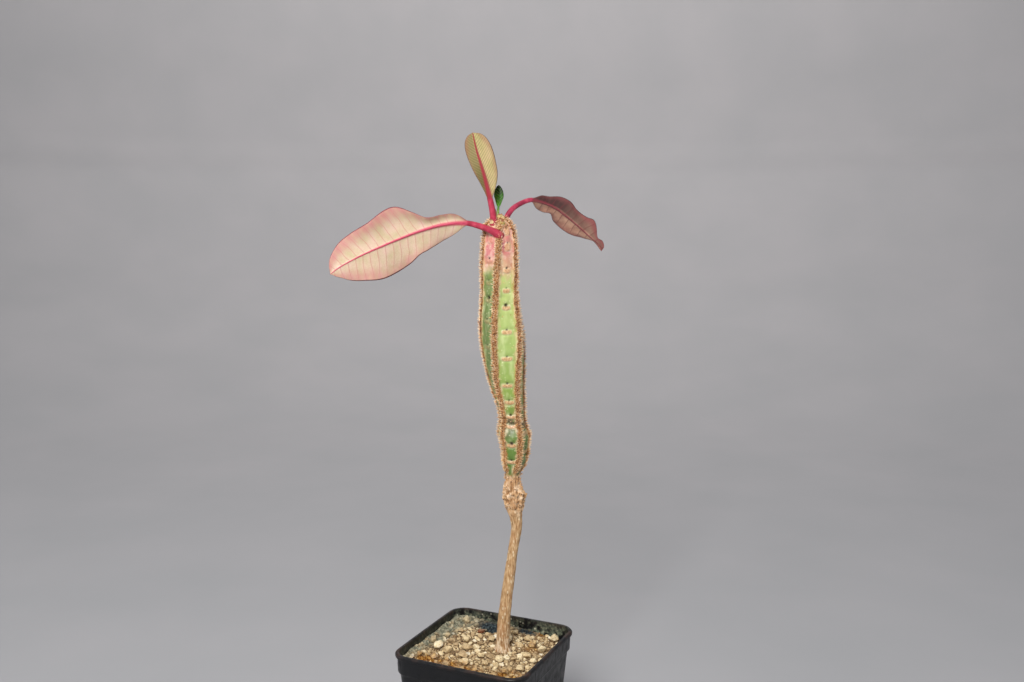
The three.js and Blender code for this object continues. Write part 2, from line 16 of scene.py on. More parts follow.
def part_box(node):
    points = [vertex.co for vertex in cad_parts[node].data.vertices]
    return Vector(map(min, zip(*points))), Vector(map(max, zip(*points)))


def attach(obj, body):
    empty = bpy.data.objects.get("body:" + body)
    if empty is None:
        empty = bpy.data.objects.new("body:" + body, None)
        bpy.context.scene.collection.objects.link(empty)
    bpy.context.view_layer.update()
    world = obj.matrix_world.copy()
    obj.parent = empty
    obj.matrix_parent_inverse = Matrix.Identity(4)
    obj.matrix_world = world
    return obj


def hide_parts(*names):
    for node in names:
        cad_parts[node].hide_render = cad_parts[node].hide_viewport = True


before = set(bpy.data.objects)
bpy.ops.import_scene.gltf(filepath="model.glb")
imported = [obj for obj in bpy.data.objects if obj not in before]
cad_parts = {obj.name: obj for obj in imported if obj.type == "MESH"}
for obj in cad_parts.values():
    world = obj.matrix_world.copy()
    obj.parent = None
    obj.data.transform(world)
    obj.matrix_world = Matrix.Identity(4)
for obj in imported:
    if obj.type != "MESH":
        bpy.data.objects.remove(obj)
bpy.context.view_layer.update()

MM = 0.001
FULL_TURN = 2 * math.pi

# ---- Sizes, from the frame --------------------------------------------------------------------

pot_low, pot_high = (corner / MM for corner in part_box("pot"))
stem_low, stem_high = (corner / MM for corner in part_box("stem"))
chip_low, chip_high = (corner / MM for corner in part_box("brown_chip"))
grit_names = sorted(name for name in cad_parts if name.startswith("grit_"))

POT_HEIGHT = pot_high.z
LIP_HALF = pot_high.x
POT_CORNER = 11
POT_WALL = 1.2
POT_TAPER = math.radians(4.8)
LIP_DEPTH = 2.5
LIP_OVERHANG = 1.2
LIP_ROUND = 0.8
COLLAR_DEPTH = 12
COLLAR_TAPER = math.radians(2)
SHOULDER_DEPTH = 2.2
SHOULDER_STEP = 1.65
FLOOR_CLEARANCE = 2
FLOOR_THICKNESS = 1.2
FOOT_DIAMETER = 14
NOTCH_WIDTH = 20
NOTCH_HEIGHT = 1.5
DRAIN_DIAMETER = 5
DRAIN_CIRCLE = 50
DRAIN_COUNT = 8

MIX_HEADSPACE = 7.6
MIX_LEVEL = POT_HEIGHT - MIX_HEADSPACE
MIX_GAP = 0.1
MIX_TILT = 0.022
MIX_RIPPLE = 0.45
HOLLOW_DEPTH = 2.6
HOLLOW_RADIUS = 8
HOLLOW_INSET = 8
CORNER_DIP = 1.4
CORNER_DIP_RADIUS = 24
CORNER_DIP_INSET = 5

STEM_OFFSET = (9.2, 5.4)
PLANT_TURN = math.radians(24.8)
STEM_HEIGHT = stem_high.z - MIX_LEVEL
TAPROOT_DEPTH = MIX_LEVEL - stem_low.z
STEM_RADIUS = 13.5
STEM_RIDGES = 5
STEM_TWIST = math.radians(0.36)
RIDGE_START = math.radians(-46)
RIDGE_LEVEL = 140
PANEL_SINK = 0.15
RIDGE_SHARPNESS = 4.5

TO_FRAME = Matrix.Scale(MM, 4)
PLANT_TO_FRAME = (
    TO_FRAME
    @ Matrix.Translation((*STEM_OFFSET, MIX_LEVEL))
    @ Matrix.Rotation(PLANT_TURN, 4, "Z")
)

# ---- Numbers and curves -----------------------------------------------------------------------


def smoothly(pairs):
    """A smooth curve through (place, value) pairs, as a function of the place."""
    places, values = np.array(pairs, float).T
    slopes = np.diff(values) / np.diff(places)
    bends = np.concatenate([slopes[:1], (slopes[1:] + slopes[:-1]) / 2, slopes[-1:]])

    def value(place):
        place = np.clip(place, places[0], places[-1])
        i = np.clip(np.searchsorted(places, place, "right") - 1, 0, len(places) - 2)
        step = places[i + 1] - places[i]
        t = (place - places[i]) / step
        leaving = (1 + 2 * t) * (1 - t) ** 2 * values[i] + t * (1 - t) ** 2 * step * bends[i]
        arriving = t * t * (3 - 2 * t) * values[i + 1] - t * t * (1 - t) * step * bends[i + 1]
        return leaving + arriving

    return value


def eased(value, low, high):
    """0 below `low`, 1 above `high`, and a soft step between them."""
    t = np.clip((value - low) / (high - low), 0, 1)
    return t * t * (3 - 2 * t)


def mixed(first, second, share):
    return first + (second - first) * share


def unit(vectors):
    return vectors / np.linalg.norm(vectors, axis=-1, keepdims=True)


def lumps(points, size, seed=0.0, depth=2):
    """Soft random values, about -1 to 1, at points in millimetres, with lumps `size` across."""
    spots = (np.asarray(points) / size + seed).tolist()
    return np.array([noise.fractal(spot, 1.0, 2.0, depth) for spot in spots])


class Path:
    """A smooth path through a few points, read by the share of its length."""

    def __init__(self, points):
        points = np.array(points, float)
        gaps = np.linalg.norm(np.diff(points, axis=0), axis=1) ** 0.5
        knots = np.concatenate([[0], np.cumsum(gaps)])
        fine = np.linspace(0, knots[-1], 800)
        lines = [smoothly(np.stack([knots, line], 1))(fine) for line in points.T]
        self.track = np.stack(lines, 1)
        steps = np.linalg.norm(np.diff(self.track, axis=0), axis=1)
        self.length = steps.sum()
        self.shares = np.concatenate([[0], np.cumsum(steps)]) / self.length

    def at(self, share):
        return np.stack([np.interp(share, self.shares, line) for line in self.track.T], -1)

    def heading(self, share):
        reach = 0.006
        ahead = self.at(np.clip(share + reach, 0, 1))
        behind = self.at(np.clip(share - reach, 0, 1))
        return unit(ahead - behind)


# ---- Mesh helpers -----------------------------------------------------------------------------


def rolled_skin(around, along, place):
    """A closed skin: a grid rolled up, with its seam merged and each end drawn to a point.

    place() takes every point's share round and share along, and gives the points in millimetres
    and a dict of the marks that the skin's material reads.
    """
    shape = bmesh.new()
    bmesh.ops.create_grid(shape, x_segments=around, y_segments=along, size=0.5)
    shares = np.array([vert.co.xy for vert in shape.verts]) + 0.5
    points, marks = place(shares[:, 0], shares[:, 1])
    for vert, point in zip(shape.verts, points.tolist()):
        vert.co = point
    put_marks(shape, marks)
    bmesh.ops.remove_doubles(shape, verts=shape.verts, dist=0.0005)
    bmesh.ops.recalc_face_normals(shape, faces=shape.faces)
    return shape


def put_marks(shape, marks):
    """Writes each named list of values on the shape's points."""
    for name, values in marks.items():
        layer = shape.verts.layers.float.new(name)
        for vert, value in zip(shape.verts, np.asarray(values, float).tolist()):
            vert[layer] = value


def add_piece(name, shape, placing, material, stands_for=(), sharp=None):
    """Makes the finished object of a shape and gives it its body and its material."""
    shape.transform(placing)
    mesh = bpy.data.meshes.new(name)
    shape.to_mesh(mesh)
    shape.free()
    mesh.shade_smooth()
    if sharp is not None:
        mesh.set_sharp_from_angle(angle=sharp)
    mesh.materials.append(material)
    piece = bpy.data.objects.new(name, mesh)
    bpy.context.scene.collection.objects.link(piece)
    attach(piece, "root")
    if stands_for:
        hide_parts(*stands_for)
    return piece


def gathered(makers, batch=60):
    """One shape of many small ones, filled a few at a time so that each is quick to add."""
    whole = bmesh.new()
    for start in range(0, len(makers), batch):
        part = bmesh.new()
        for make in makers[start:start + batch]:
            make(part)
        mesh = bpy.data.meshes.new("batch")
        part.to_mesh(mesh)
        part.free()
        whole.from_mesh(mesh)
        bpy.data.meshes.remove(mesh)
    return whole


def pointing(place, heading, length):
    """The placing of a piece that starts at `place` and runs `length` along `heading`."""
    turn = Vector(heading).to_track_quat("Z", "Y").to_matrix().to_4x4()
    return Matrix.Translation(place) @ turn @ Matrix.Translation((0, 0, length / 2))


# ---- Material helpers -------------------------------------------------------------------------


def paint(red, green, blue):
    """A colour as a painter reads it, 0 to 255, in the linear light that shaders take."""
    parts = np.array([red, green, blue]) / 255
    linear = np.where(parts <= 0.04045, parts / 12.92, ((parts + 0.055) / 1.055) ** 2.4)
    return (*linear.tolist(), 1)


class Desk:
    """Lays nodes in one material or group. Every method returns the output socket it made."""

    def __init__(self, tree):
        self.tree = tree

    def add(self, kind, sockets, out=0, **settings):
        node = self.tree.nodes.new("ShaderNode" + kind)
        for name, value in settings.items():
            setattr(node, name, value)
        return self.fill(node, sockets, out)

    def fill(self, node, sockets, out):
        """Links or sets each socket, and gives one of the node's outputs."""
        for name, value in sockets.items():
            if isinstance(value, bpy.types.NodeSocket):
                self.tree.links.new(value, node.inputs[name])
            else:
                node.inputs[name].default_value = value
        return node.outputs[out]

    def spot(self, stretch=(1, 1, 1)):
        """The place on the piece, in millimetres, stretched along each axis."""
        here = self.add("TexCoord", {}, "Object")
        scale = [1 / (MM * part) for part in stretch]
        return self.add("Mapping", {"Vector": here, "Scale": scale})

    def mark(self, name):
        return self.add("Attribute", {}, "Fac", attribute_name=name)

    def sum(self, how, *values):
        return self.add("Math", dict(enumerate(values)), operation=how)

    def times(self, first, second):
        return self.sum("MULTIPLY", first, second)

    def comb(self, name):
        """How far a mark is from the middle of its whole steps: 0.5 at a step, 0 between two."""
        return self.sum("ABSOLUTE", self.sum("SUBTRACT", self.sum("FRACT", self.mark(name)), 0.5))

    def span(self, value, low, high, to_low=0.0, to_high=1.0):
        sockets = {"Value": value, 1: low, 2: high, 3: to_low, 4: to_high}
        return self.add("MapRange", sockets, interpolation_type="SMOOTHSTEP")

    def blend(self, share, first, second, how="MIX"):
        sockets = {0: share, 6: first, 7: second}
        return self.add("Mix", sockets, 2, data_type="RGBA", blend_type=how)

    def ramp(self, value, stops):
        """A colour by value, through stops: each a place and the colour's red, green and blue."""
        output = self.add("ValToRGB", {"Fac": value})
        elements = output.node.color_ramp.elements
        for element, (place, *colour) in ((elements[0], stops[0]), (elements[1], stops[-1])):
            element.position, element.color = place, paint(*colour)
        for place, *colour in stops[1:-1]:
            elements.new(place).color = paint(*colour)
        return output

    def cloud(self, spot, size, depth=3.0, distortion=0.0):
        sockets = {"Vector": spot, "Scale": 1 / size, "Detail": depth, "Distortion": distortion}
        return self.add("TexNoise", sockets, "Fac")

    def cells(self, spot, size, out="Distance", feature="F1"):
        return self.add("TexVoronoi", {"Vector": spot, "Scale": 1 / size}, out, feature=feature)

    def use(self, group, sockets, out=0):
        """One output of a shared effect, placed with its own values."""
        node = self.tree.nodes.new("ShaderNodeGroup")
        node.node_tree = group
        return self.fill(node, sockets, out)

    def patches(self, spot, size, cover, softness):
        return self.use(
            PATCHES, {"Spot": spot, "Size": size, "Cover": cover, "Softness": softness}
        )

    def specks(self, spot, size, share):
        return self.use(SPECKLE, {"Spot": spot, "Size": size, "Share": share})

    def grain(self, spot, size):
        return self.use(GRAIN, {"Spot": spot, "Size": size})


def new_effect(name, inputs, outputs):
    """An empty shared effect with named inputs and outputs: its tree, desk, entry and exit."""
    tree = bpy.data.node_groups.new(name, "ShaderNodeTree")
    for label, kind in inputs.items():
        tree.interface.new_socket(label, in_out="INPUT", socket_type="NodeSocket" + kind)
    for label, kind in outputs.items():
        tree.interface.new_socket(label, in_out="OUTPUT", socket_type="NodeSocket" + kind)
    entry = tree.nodes.new("NodeGroupInput")
    leaving = tree.nodes.new("NodeGroupOutput")
    return tree, Desk(tree), entry.outputs, leaving.inputs


def make_patches():
    """Soft-edged random patches: how much of the surface they cover is set by Cover."""
    inputs = {"Spot": "Vector", "Size": "Float", "Cover": "Float", "Softness": "Float"}
    tree, desk, entry, leaving = new_effect("patches", inputs, {"Amount": "Float"})
    scale = desk.sum("DIVIDE", 1.0, entry["Size"])
    cloud = desk.add(
        "TexNoise", {"Vector": entry["Spot"], "Scale": scale, "Detail": 4.0}, "Fac"
    )
    middle = desk.sum("SUBTRACT", 1.0, entry["Cover"])
    low = desk.sum("SUBTRACT", middle, entry["Softness"])
    high = desk.sum("ADD", middle, entry["Softness"])
    tree.links.new(desk.span(cloud, low, high), leaving["Amount"])
    return tree


def make_speckle():
    """Small round specks, one to a cell, with only some of the cells filled."""
    inputs = {"Spot": "Vector", "Size": "Float", "Share": "Float"}
    tree, desk, entry, leaving = new_effect("speckle", inputs, {"Amount": "Float"})
    scale = desk.sum("DIVIDE", 1.0, entry["Size"])
    sockets = {"Vector": entry["Spot"], "Scale": scale}
    distance = desk.add("TexVoronoi", sockets, "Distance")
    tone = desk.add("SeparateColor", {"Color": desk.add("TexVoronoi", sockets, "Color")}, 0)
    dot = desk.span(distance, 0.22, 0.38, 1.0, 0.0)
    filled = desk.sum("LESS_THAN", tone, entry["Share"])
    tree.links.new(desk.times(dot, filled), leaving["Amount"])
    return tree


def make_grain():
    """The height of a fine grain of two sizes, for a bump."""
    inputs = {"Spot": "Vector", "Size": "Float"}
    tree, desk, entry, leaving = new_effect("grain", inputs, {"Height": "Float"})
    scale = desk.sum("DIVIDE", 1.0, entry["Size"])
    coarse = desk.add(
        "TexNoise", {"Vector": entry["Spot"], "Scale": scale, "Detail": 3.0}, "Fac"
    )
    pits = desk.add("TexVoronoi", {"Vector": entry["Spot"], "Scale": scale}, "Distance")
    both = desk.sum("MULTIPLY_ADD", pits, 0.5, coarse)
    tree.links.new(both, leaving["Height"])
    return tree


def make_dust():
    """Pale dust that settles on faces that look up, and thinly on the rest."""
    inputs = {"Colour": "Color", "Dust": "Color", "Spot": "Vector", "Amount": "Float"}
    outputs = {"Colour": "Color", "Amount": "Float"}
    tree, desk, entry, leaving = new_effect("dust", inputs, outputs)
    facing = desk.add("SeparateXYZ", {"Vector": desk.add("NewGeometry", {}, "Normal")}, "Z")
    upward = desk.span(facing, -0.2, 0.9, 0.25, 1.0)
    drift = desk.span(desk.cloud(entry["Spot"], 7.0, 5.0), 0.35, 0.7)
    amount = desk.times(desk.times(upward, drift), entry["Amount"])
    tree.links.new(desk.blend(amount, entry["Colour"], entry["Dust"]), leaving["Colour"])
    tree.links.new(amount, leaving["Amount"])
    return tree


PATCHES = make_patches()
SPECKLE = make_speckle()
GRAIN = make_grain()
DUST = make_dust()


def new_finish(name, **fixed):
    """A material with its fixed values set: the desk, and the shader that its nodes feed."""
    material = bpy.data.materials.new(name)
    material.use_nodes = True
    shader = material.node_tree.nodes["Principled BSDF"]
    for socket, value in fixed.items():
        shader.inputs[socket.replace("_", " ")].default_value = value
    return material, Desk(material.node_tree), shader


def feed(desk, shader, colour, roughness=None, height=None, depth=0.1):
    """Joins a finish's colour, roughness and relief (a height, `depth` millimetres deep)."""
    desk.tree.links.new(colour, shader.inputs["Base Color"])
    if roughness is not None:
        desk.tree.links.new(roughness, shader.inputs["Roughness"])
    if height is not None:
        sockets = {"Height": height, "Distance": depth * MM, "Strength": 1.0}
        desk.tree.links.new(desk.add("Bump", sockets), shader.inputs["Normal"])


# ---- Finishes: pot and mix --------------------------------------------------------------------


def pot_plastic():
    """Black moulded plastic: scuffed, dusty on its ledges, limed inside above the mix, with a painted
    brownish highlight on its lip.
    """
    material, desk, shader = new_finish("pot_plastic", Specular_IOR_Level=0.35)
    spot = desk.spot()
    tall = desk.spot((1, 1, 5))
    black = desk.ramp(
        desk.cloud(spot, 22.0, 4.0),
        [(0.3, 6, 7, 10), (0.7, 15, 16, 20)],
    )
    scuffs = desk.patches(tall, 3.0, 0.36, 0.07)
    worn = desk.blend(desk.times(scuffs, 0.08), black, paint(48, 48, 52))
    # Painted highlight: brownish patches on the lip stand for the sheen along its edge.
    lip = desk.mark("lip")
    brown = desk.patches(spot, 7.0, 0.42, 0.14)
    lip_sheen = desk.blend(desk.times(lip, brown), worn, paint(50, 30, 24))
    dusty = {"Colour": lip_sheen, "Dust": paint(120, 112, 100), "Spot": spot, "Amount": 0.05}
    dusted = desk.use(DUST, dusty, "Colour")
    damp = desk.mark("limed")
    streaks = desk.patches(spot, 3.4, 0.52, 0.1)
    crust = desk.times(damp, streaks)
    lime = desk.ramp(
        desk.cloud(spot, 1.6, 4.0),
        [(0.3, 40, 48, 46), (0.55, 112, 118, 98), (0.75, 186, 178, 150)],
    )
    limed = desk.blend(crust, dusted, lime)
    flecks = desk.specks(spot, 2.2, 0.16)
    flecked = desk.blend(desk.times(flecks, damp), limed, paint(205, 200, 180))
    gloss = desk.span(desk.cloud(spot, 5.0, 5.0), 0.3, 0.75, 0.36, 0.55)
    rough = desk.sum("MULTIPLY_ADD", desk.sum("MAXIMUM", crust, scuffs), 0.25, gloss)
    relief = desk.grain(spot, 0.7)
    height = desk.sum("MULTIPLY_ADD", crust, 2.0, relief)
    feed(desk, shader, flecked, rough, height, 0.06)
    return material


def stained_and_shaded(desk, colour, spot):
    """Adds grey-green crust and rust that the damp has left on a grain, and bluish black painted shade in
    the hollow behind the stem and by the back wall.
    """
    crust_tone = desk.ramp(
        desk.cloud(spot, 2.2, 4.0),
        [(0.3, 84, 88, 76), (0.5, 140, 138, 118), (0.75, 180, 172, 148)],
    )
    crusted = desk.blend(desk.mark("crust"), colour, crust_tone)
    rust_tone = desk.ramp(
        desk.cloud(spot, 1.7, 4.0),
        [(0.3, 62, 34, 12), (0.45, 132, 82, 30), (0.58, 182, 134, 62),
         (0.72, 214, 188, 128)],
    )
    rusted = desk.blend(desk.mark("rust"), crusted, rust_tone)
    # Painted shade: bluish black over the grains in the hollow behind the stem and by the back wall.
    dark_tone = desk.ramp(
        desk.cloud(spot, 1.3, 3.0),
        [(0.35, 24, 28, 32), (0.6, 62, 72, 76), (0.8, 126, 136, 128)],
    )
    return desk.blend(desk.mark("shade"), rusted, dark_tone)


def potting_mix():
    """Fine gritty matrix between the stones: tan crumbs, pale dust, and painted shade in the gaps between
    the crumbs.
    """
    material, desk, shader = new_finish("potting_mix", Specular_IOR_Level=0.2)
    spot = desk.spot()
    crumbs = desk.cells(spot, 1.1, "Color")
    tone = desk.add("SeparateColor", {"Color": crumbs}, 0)
    base = desk.ramp(
        tone,
        [
            (0.0, 74, 54, 36), (0.3, 126, 100, 70), (0.7, 166, 140, 104), (1.0, 204, 182, 144),
        ],
    )
    # Painted shade: the gaps between the crumbs are darkened.
    gaps = desk.span(desk.cells(spot, 1.1, "Distance"), 0.45, 0.8, 0.0, 0.6)
    grained = desk.blend(gaps, base, paint(70, 52, 38))
    colour = stained_and_shaded(desk, grained, spot)
    damp = desk.span(desk.mark("rust"), 0.2, 0.9, 0.95, 0.5)
    height = desk.sum("SUBTRACT", desk.grain(spot, 0.8), gaps)
    feed(desk, shader, colour, damp, height, 0.3)
    return material


def pumice():
    """Cream to tan pumice, chalky and pitted; each grain keeps a tone of its own."""
    material, desk, shader = new_finish("pumice", Specular_IOR_Level=0.25)
    spot = desk.spot()
    wander = desk.span(desk.cloud(spot, 1.5, 4.0), 0.25, 0.75, -0.16, 0.16)
    tone = desk.sum("ADD", desk.mark("tone"), wander)
    base = desk.ramp(
        tone,
        [
            (0.0, 84, 68, 52), (0.12, 140, 114, 84), (0.32, 178, 152, 116), (0.6, 208, 184, 142),
            (0.84, 234, 216, 176), (1.0, 244, 234, 210),
        ],
    )
    pits = desk.specks(spot, 0.55, 0.4)
    pitted = desk.blend(desk.times(pits, 0.45), base, paint(120, 88, 60))
    colour = stained_and_shaded(desk, pitted, spot)
    rough = desk.span(desk.mark("rust"), 0.2, 0.9, 0.88, 0.42)
    height = desk.sum("SUBTRACT", desk.grain(spot, 0.6), pits)
    feed(desk, shader, colour, rough, height, 0.12)
    return material


def brown_bark():
    """A chip of dark red-brown bark with the fibres' lines along it."""
    material, desk, shader = new_finish("brown_bark", Specular_IOR_Level=0.35)
    spot = desk.spot()
    fibres = desk.cloud(desk.spot((3, 0.6, 0.6)), 1.4, 4.0)
    base = desk.ramp(
        fibres,
        [(0.3, 62, 28, 14), (0.5, 118, 62, 34), (0.72, 168, 104, 66)],
    )
    dusty = {"Colour": base, "Dust": paint(196, 170, 134), "Spot": spot, "Amount": 0.35}
    feed(desk, shader, desk.use(DUST, dusty, "Colour"), desk.span(fibres, 0.3, 0.7, 0.5, 0.8),
         desk.sum("ADD", fibres, desk.grain(spot, 0.5)), 0.25)
    return material


# ---- Finishes: plant --------------------------------------------------------------------------


def stem_skin():
    """The stem's skin: fissured tan wood at the foot, then green that ripens to pink at the top.

    Felted brown runs along the ridges, deepened by painted shade between its rows of bristles, and corky
    scars sit under dark buds on the panels. The panels that face away from the light carry painted shade
    below the pink top.
    """
    material, desk, shader = new_finish("stem_skin", Specular_IOR_Level=0.4)
    spot = desk.spot()
    rise = desk.mark("rise")
    ridge = desk.mark("ridge")
    wood = desk.mark("wood")
    streaks = desk.cloud(desk.spot((0.7, 0.7, 2.6)), 1.5, 5.0)
    bark = desk.ramp(
        streaks,
        [
            (0.24, 122, 88, 56), (0.4, 170, 132, 90), (0.56, 196, 160, 118),
            (0.74, 226, 202, 164),
        ],
    )
    rusty = desk.patches(spot, 7.0, 0.45, 0.12)
    reddened = desk.blend(desk.times(rusty, 0.3), bark, paint(168, 112, 68))
    low_spot = desk.spot((1, 1, 2.2))
    flecks = desk.specks(low_spot, 1.5, 0.34)
    flecked = desk.blend(desk.times(flecks, 0.6), reddened, paint(236, 220, 188))
    swelling = desk.times(desk.span(rise, 0.315, 0.35), desk.span(rise, 0.42, 0.43, 1, 0))
    knob_tone = desk.ramp(
        desk.cloud(spot, 3.0, 4.0),
        [(0.32, 146, 102, 62), (0.48, 206, 166, 124), (0.66, 240, 216, 186)],
    )
    knobbed = desk.blend(desk.times(swelling, 0.85), flecked, knob_tone)
    holes = desk.specks(spot, 1.7, 0.55)
    warm = desk.blend(
        desk.times(desk.times(holes, swelling), 0.9), knobbed, paint(74, 48, 30)
    )
    foot = desk.span(rise, 0.0, 0.075, 0.8, 0.0)
    chalky = desk.times(foot, desk.span(streaks, 0.4, 0.6))
    limed = desk.blend(chalky, warm, paint(232, 214, 188))

    wobble = desk.span(desk.cloud(spot, 9.0, 3.0), 0.3, 0.7, -0.012, 0.012)
    level = desk.sum("ADD", rise, wobble)
    green = desk.ramp(
        level,
        [
            (0.33, 198, 152, 118), (0.4, 150, 122, 80), (0.425, 76, 106, 40),
            (0.5, 100, 128, 62), (0.535, 92, 92, 60), (0.56, 116, 138, 64), (0.62, 136, 160, 80),
            (0.7, 158, 180, 104), (0.86, 176, 190, 116), (0.885, 204, 160, 124),
            (0.93, 200, 116, 120), (1.0, 190, 136, 100),
        ],
    )
    inner = desk.mark("inner")
    rim_tone = desk.ramp(
        level,
        [
            (0.42, 132, 112, 50), (0.62, 158, 140, 64), (0.86, 186, 166, 88),
            (0.95, 206, 128, 112),
        ],
    )
    # Painted shade: the panels that face away from the light are darkened, below the pink top.
    panel_shade = desk.times(desk.mark("shadow"), desk.span(level, 0.85, 0.9, 1.0, 0.0))
    shadowed = desk.blend(panel_shade, green, paint(78, 100, 50))
    edged = desk.blend(desk.span(inner, 0.2, 1.0, 0.0, 0.6), shadowed, rim_tone)
    pale = desk.patches(desk.spot((1, 1, 2.5)), 4.0, 0.42, 0.12)
    clouded = desk.blend(desk.times(pale, 0.3), edged, paint(232, 234, 186))
    top = desk.span(level, 0.86, 0.9)
    cream = desk.patches(spot, 3.6, 0.45, 0.08)
    rosy = desk.blend(desk.times(desk.times(cream, top), 0.5), clouded, paint(228, 200, 184))
    tan = desk.patches(low_spot, 4.4, 0.36, 0.05)
    browned = desk.blend(desk.times(desk.times(tan, top), 0.7), rosy, paint(176, 112, 70))
    dots = desk.specks(spot, 1.5, 0.22)
    margin_spots = desk.patches(desk.spot((1, 1, 1.8)), 3.2, 0.5, 0.06)
    flushed = desk.times(margin_spots, desk.span(inner, 0.3, 0.9, 0.0, 0.55))
    bleached = desk.blend(flushed, browned, paint(224, 200, 168))
    dotted = desk.blend(desk.times(dots, 0.3), bleached, paint(246, 238, 206))
    deep = desk.patches(spot, 6.5, 0.33, 0.1)
    shaded = desk.blend(desk.times(deep, 0.35), dotted, paint(96, 128, 58))

    cork = desk.ramp(
        desk.cloud(spot, 1.1, 4.0),
        [(0.3, 170, 114, 76), (0.5, 212, 164, 122), (0.72, 238, 204, 168)],
    )
    scarred = desk.blend(desk.times(desk.mark("scar"), 0.85), shaded, cork)
    corked = desk.blend(desk.mark("halo"), scarred, paint(228, 218, 180))
    budded = desk.blend(desk.mark("bud"), corked, paint(46, 22, 8))
    dried = desk.blend(desk.mark("dry"), budded, desk.ramp(
        desk.cells(spot, 1.3, "Distance"),
        [(0.08, 206, 178, 142), (0.3, 138, 112, 82), (0.7, 60, 52, 40)],
    ))
    skin = desk.blend(wood, dried, limed)
    tooth = desk.comb("comb")
    tuft = desk.sum("MULTIPLY_ADD", tooth, 0.9, desk.span(desk.cloud(spot, 0.9), 0.2, 0.8, -0.05, 0.6))
    # The felt's darkest stops, in the gaps between the comb's rows, are its brown deepened by painted
    # shade; its palest stops are the straw of the bristle tips.
    felt = desk.ramp(
        tuft,
        [
            (0.1, 70, 38, 16), (0.32, 132, 80, 40), (0.54, 196, 140, 84), (0.78, 230, 184, 132),
            (1.0, 246, 214, 176),
        ],
    )
    colour = desk.blend(ridge, skin, felt)

    matt = desk.sum("MAXIMUM", wood, desk.sum("MAXIMUM", ridge, desk.mark("dry")))
    waxy = desk.span(desk.cloud(spot, 3.0, 3.0), 0.3, 0.7, 0.28, 0.44)
    rough = desk.span(matt, 0.0, 1.0, waxy, 0.88)
    fissures = desk.times(streaks, desk.sum("MAXIMUM", wood, 0.12))
    grain = desk.grain(spot, 0.9)
    relief = desk.sum("MULTIPLY_ADD", grain, desk.span(matt, 0.0, 1.0, 0.1, 0.6), fissures)
    height = desk.sum("MULTIPLY_ADD", desk.times(tuft, ridge), 1.2, relief)
    feed(desk, shader, colour, rough, height, 0.35)
    return material


def bristle_horn():
    """Dry, horny bristles: red-brown where they grow, straw at the tip."""
    material, desk, shader = new_finish("bristle_horn", Specular_IOR_Level=0.45)
    spot = desk.spot()
    shift = desk.span(desk.mark("tone"), 0.0, 1.0, -0.5, 0.4)
    tip = desk.sum("ADD", desk.mark("tip"), shift)
    base = desk.ramp(
        tip,
        [
            (0.0, 128, 68, 32), (0.2, 194, 124, 66), (0.45, 226, 168, 108),
            (0.75, 242, 200, 152), (1.0, 252, 228, 194),
        ],
    )
    patchy = desk.patches(spot, 5.0, 0.45, 0.12)
    reddened = desk.blend(desk.times(patchy, 0.25), base, paint(134, 68, 34))
    level = desk.add("SeparateXYZ", {"Vector": spot}, "Z")
    colour = desk.blend(desk.span(level, 195.0, 255.0, 0.3, 0.0), reddened, paint(236, 196, 132))
    feed(desk, shader, colour, desk.span(tip, 0.0, 1.0, 0.75, 0.5),
         desk.grain(spot, 0.3), 0.05)
    return material


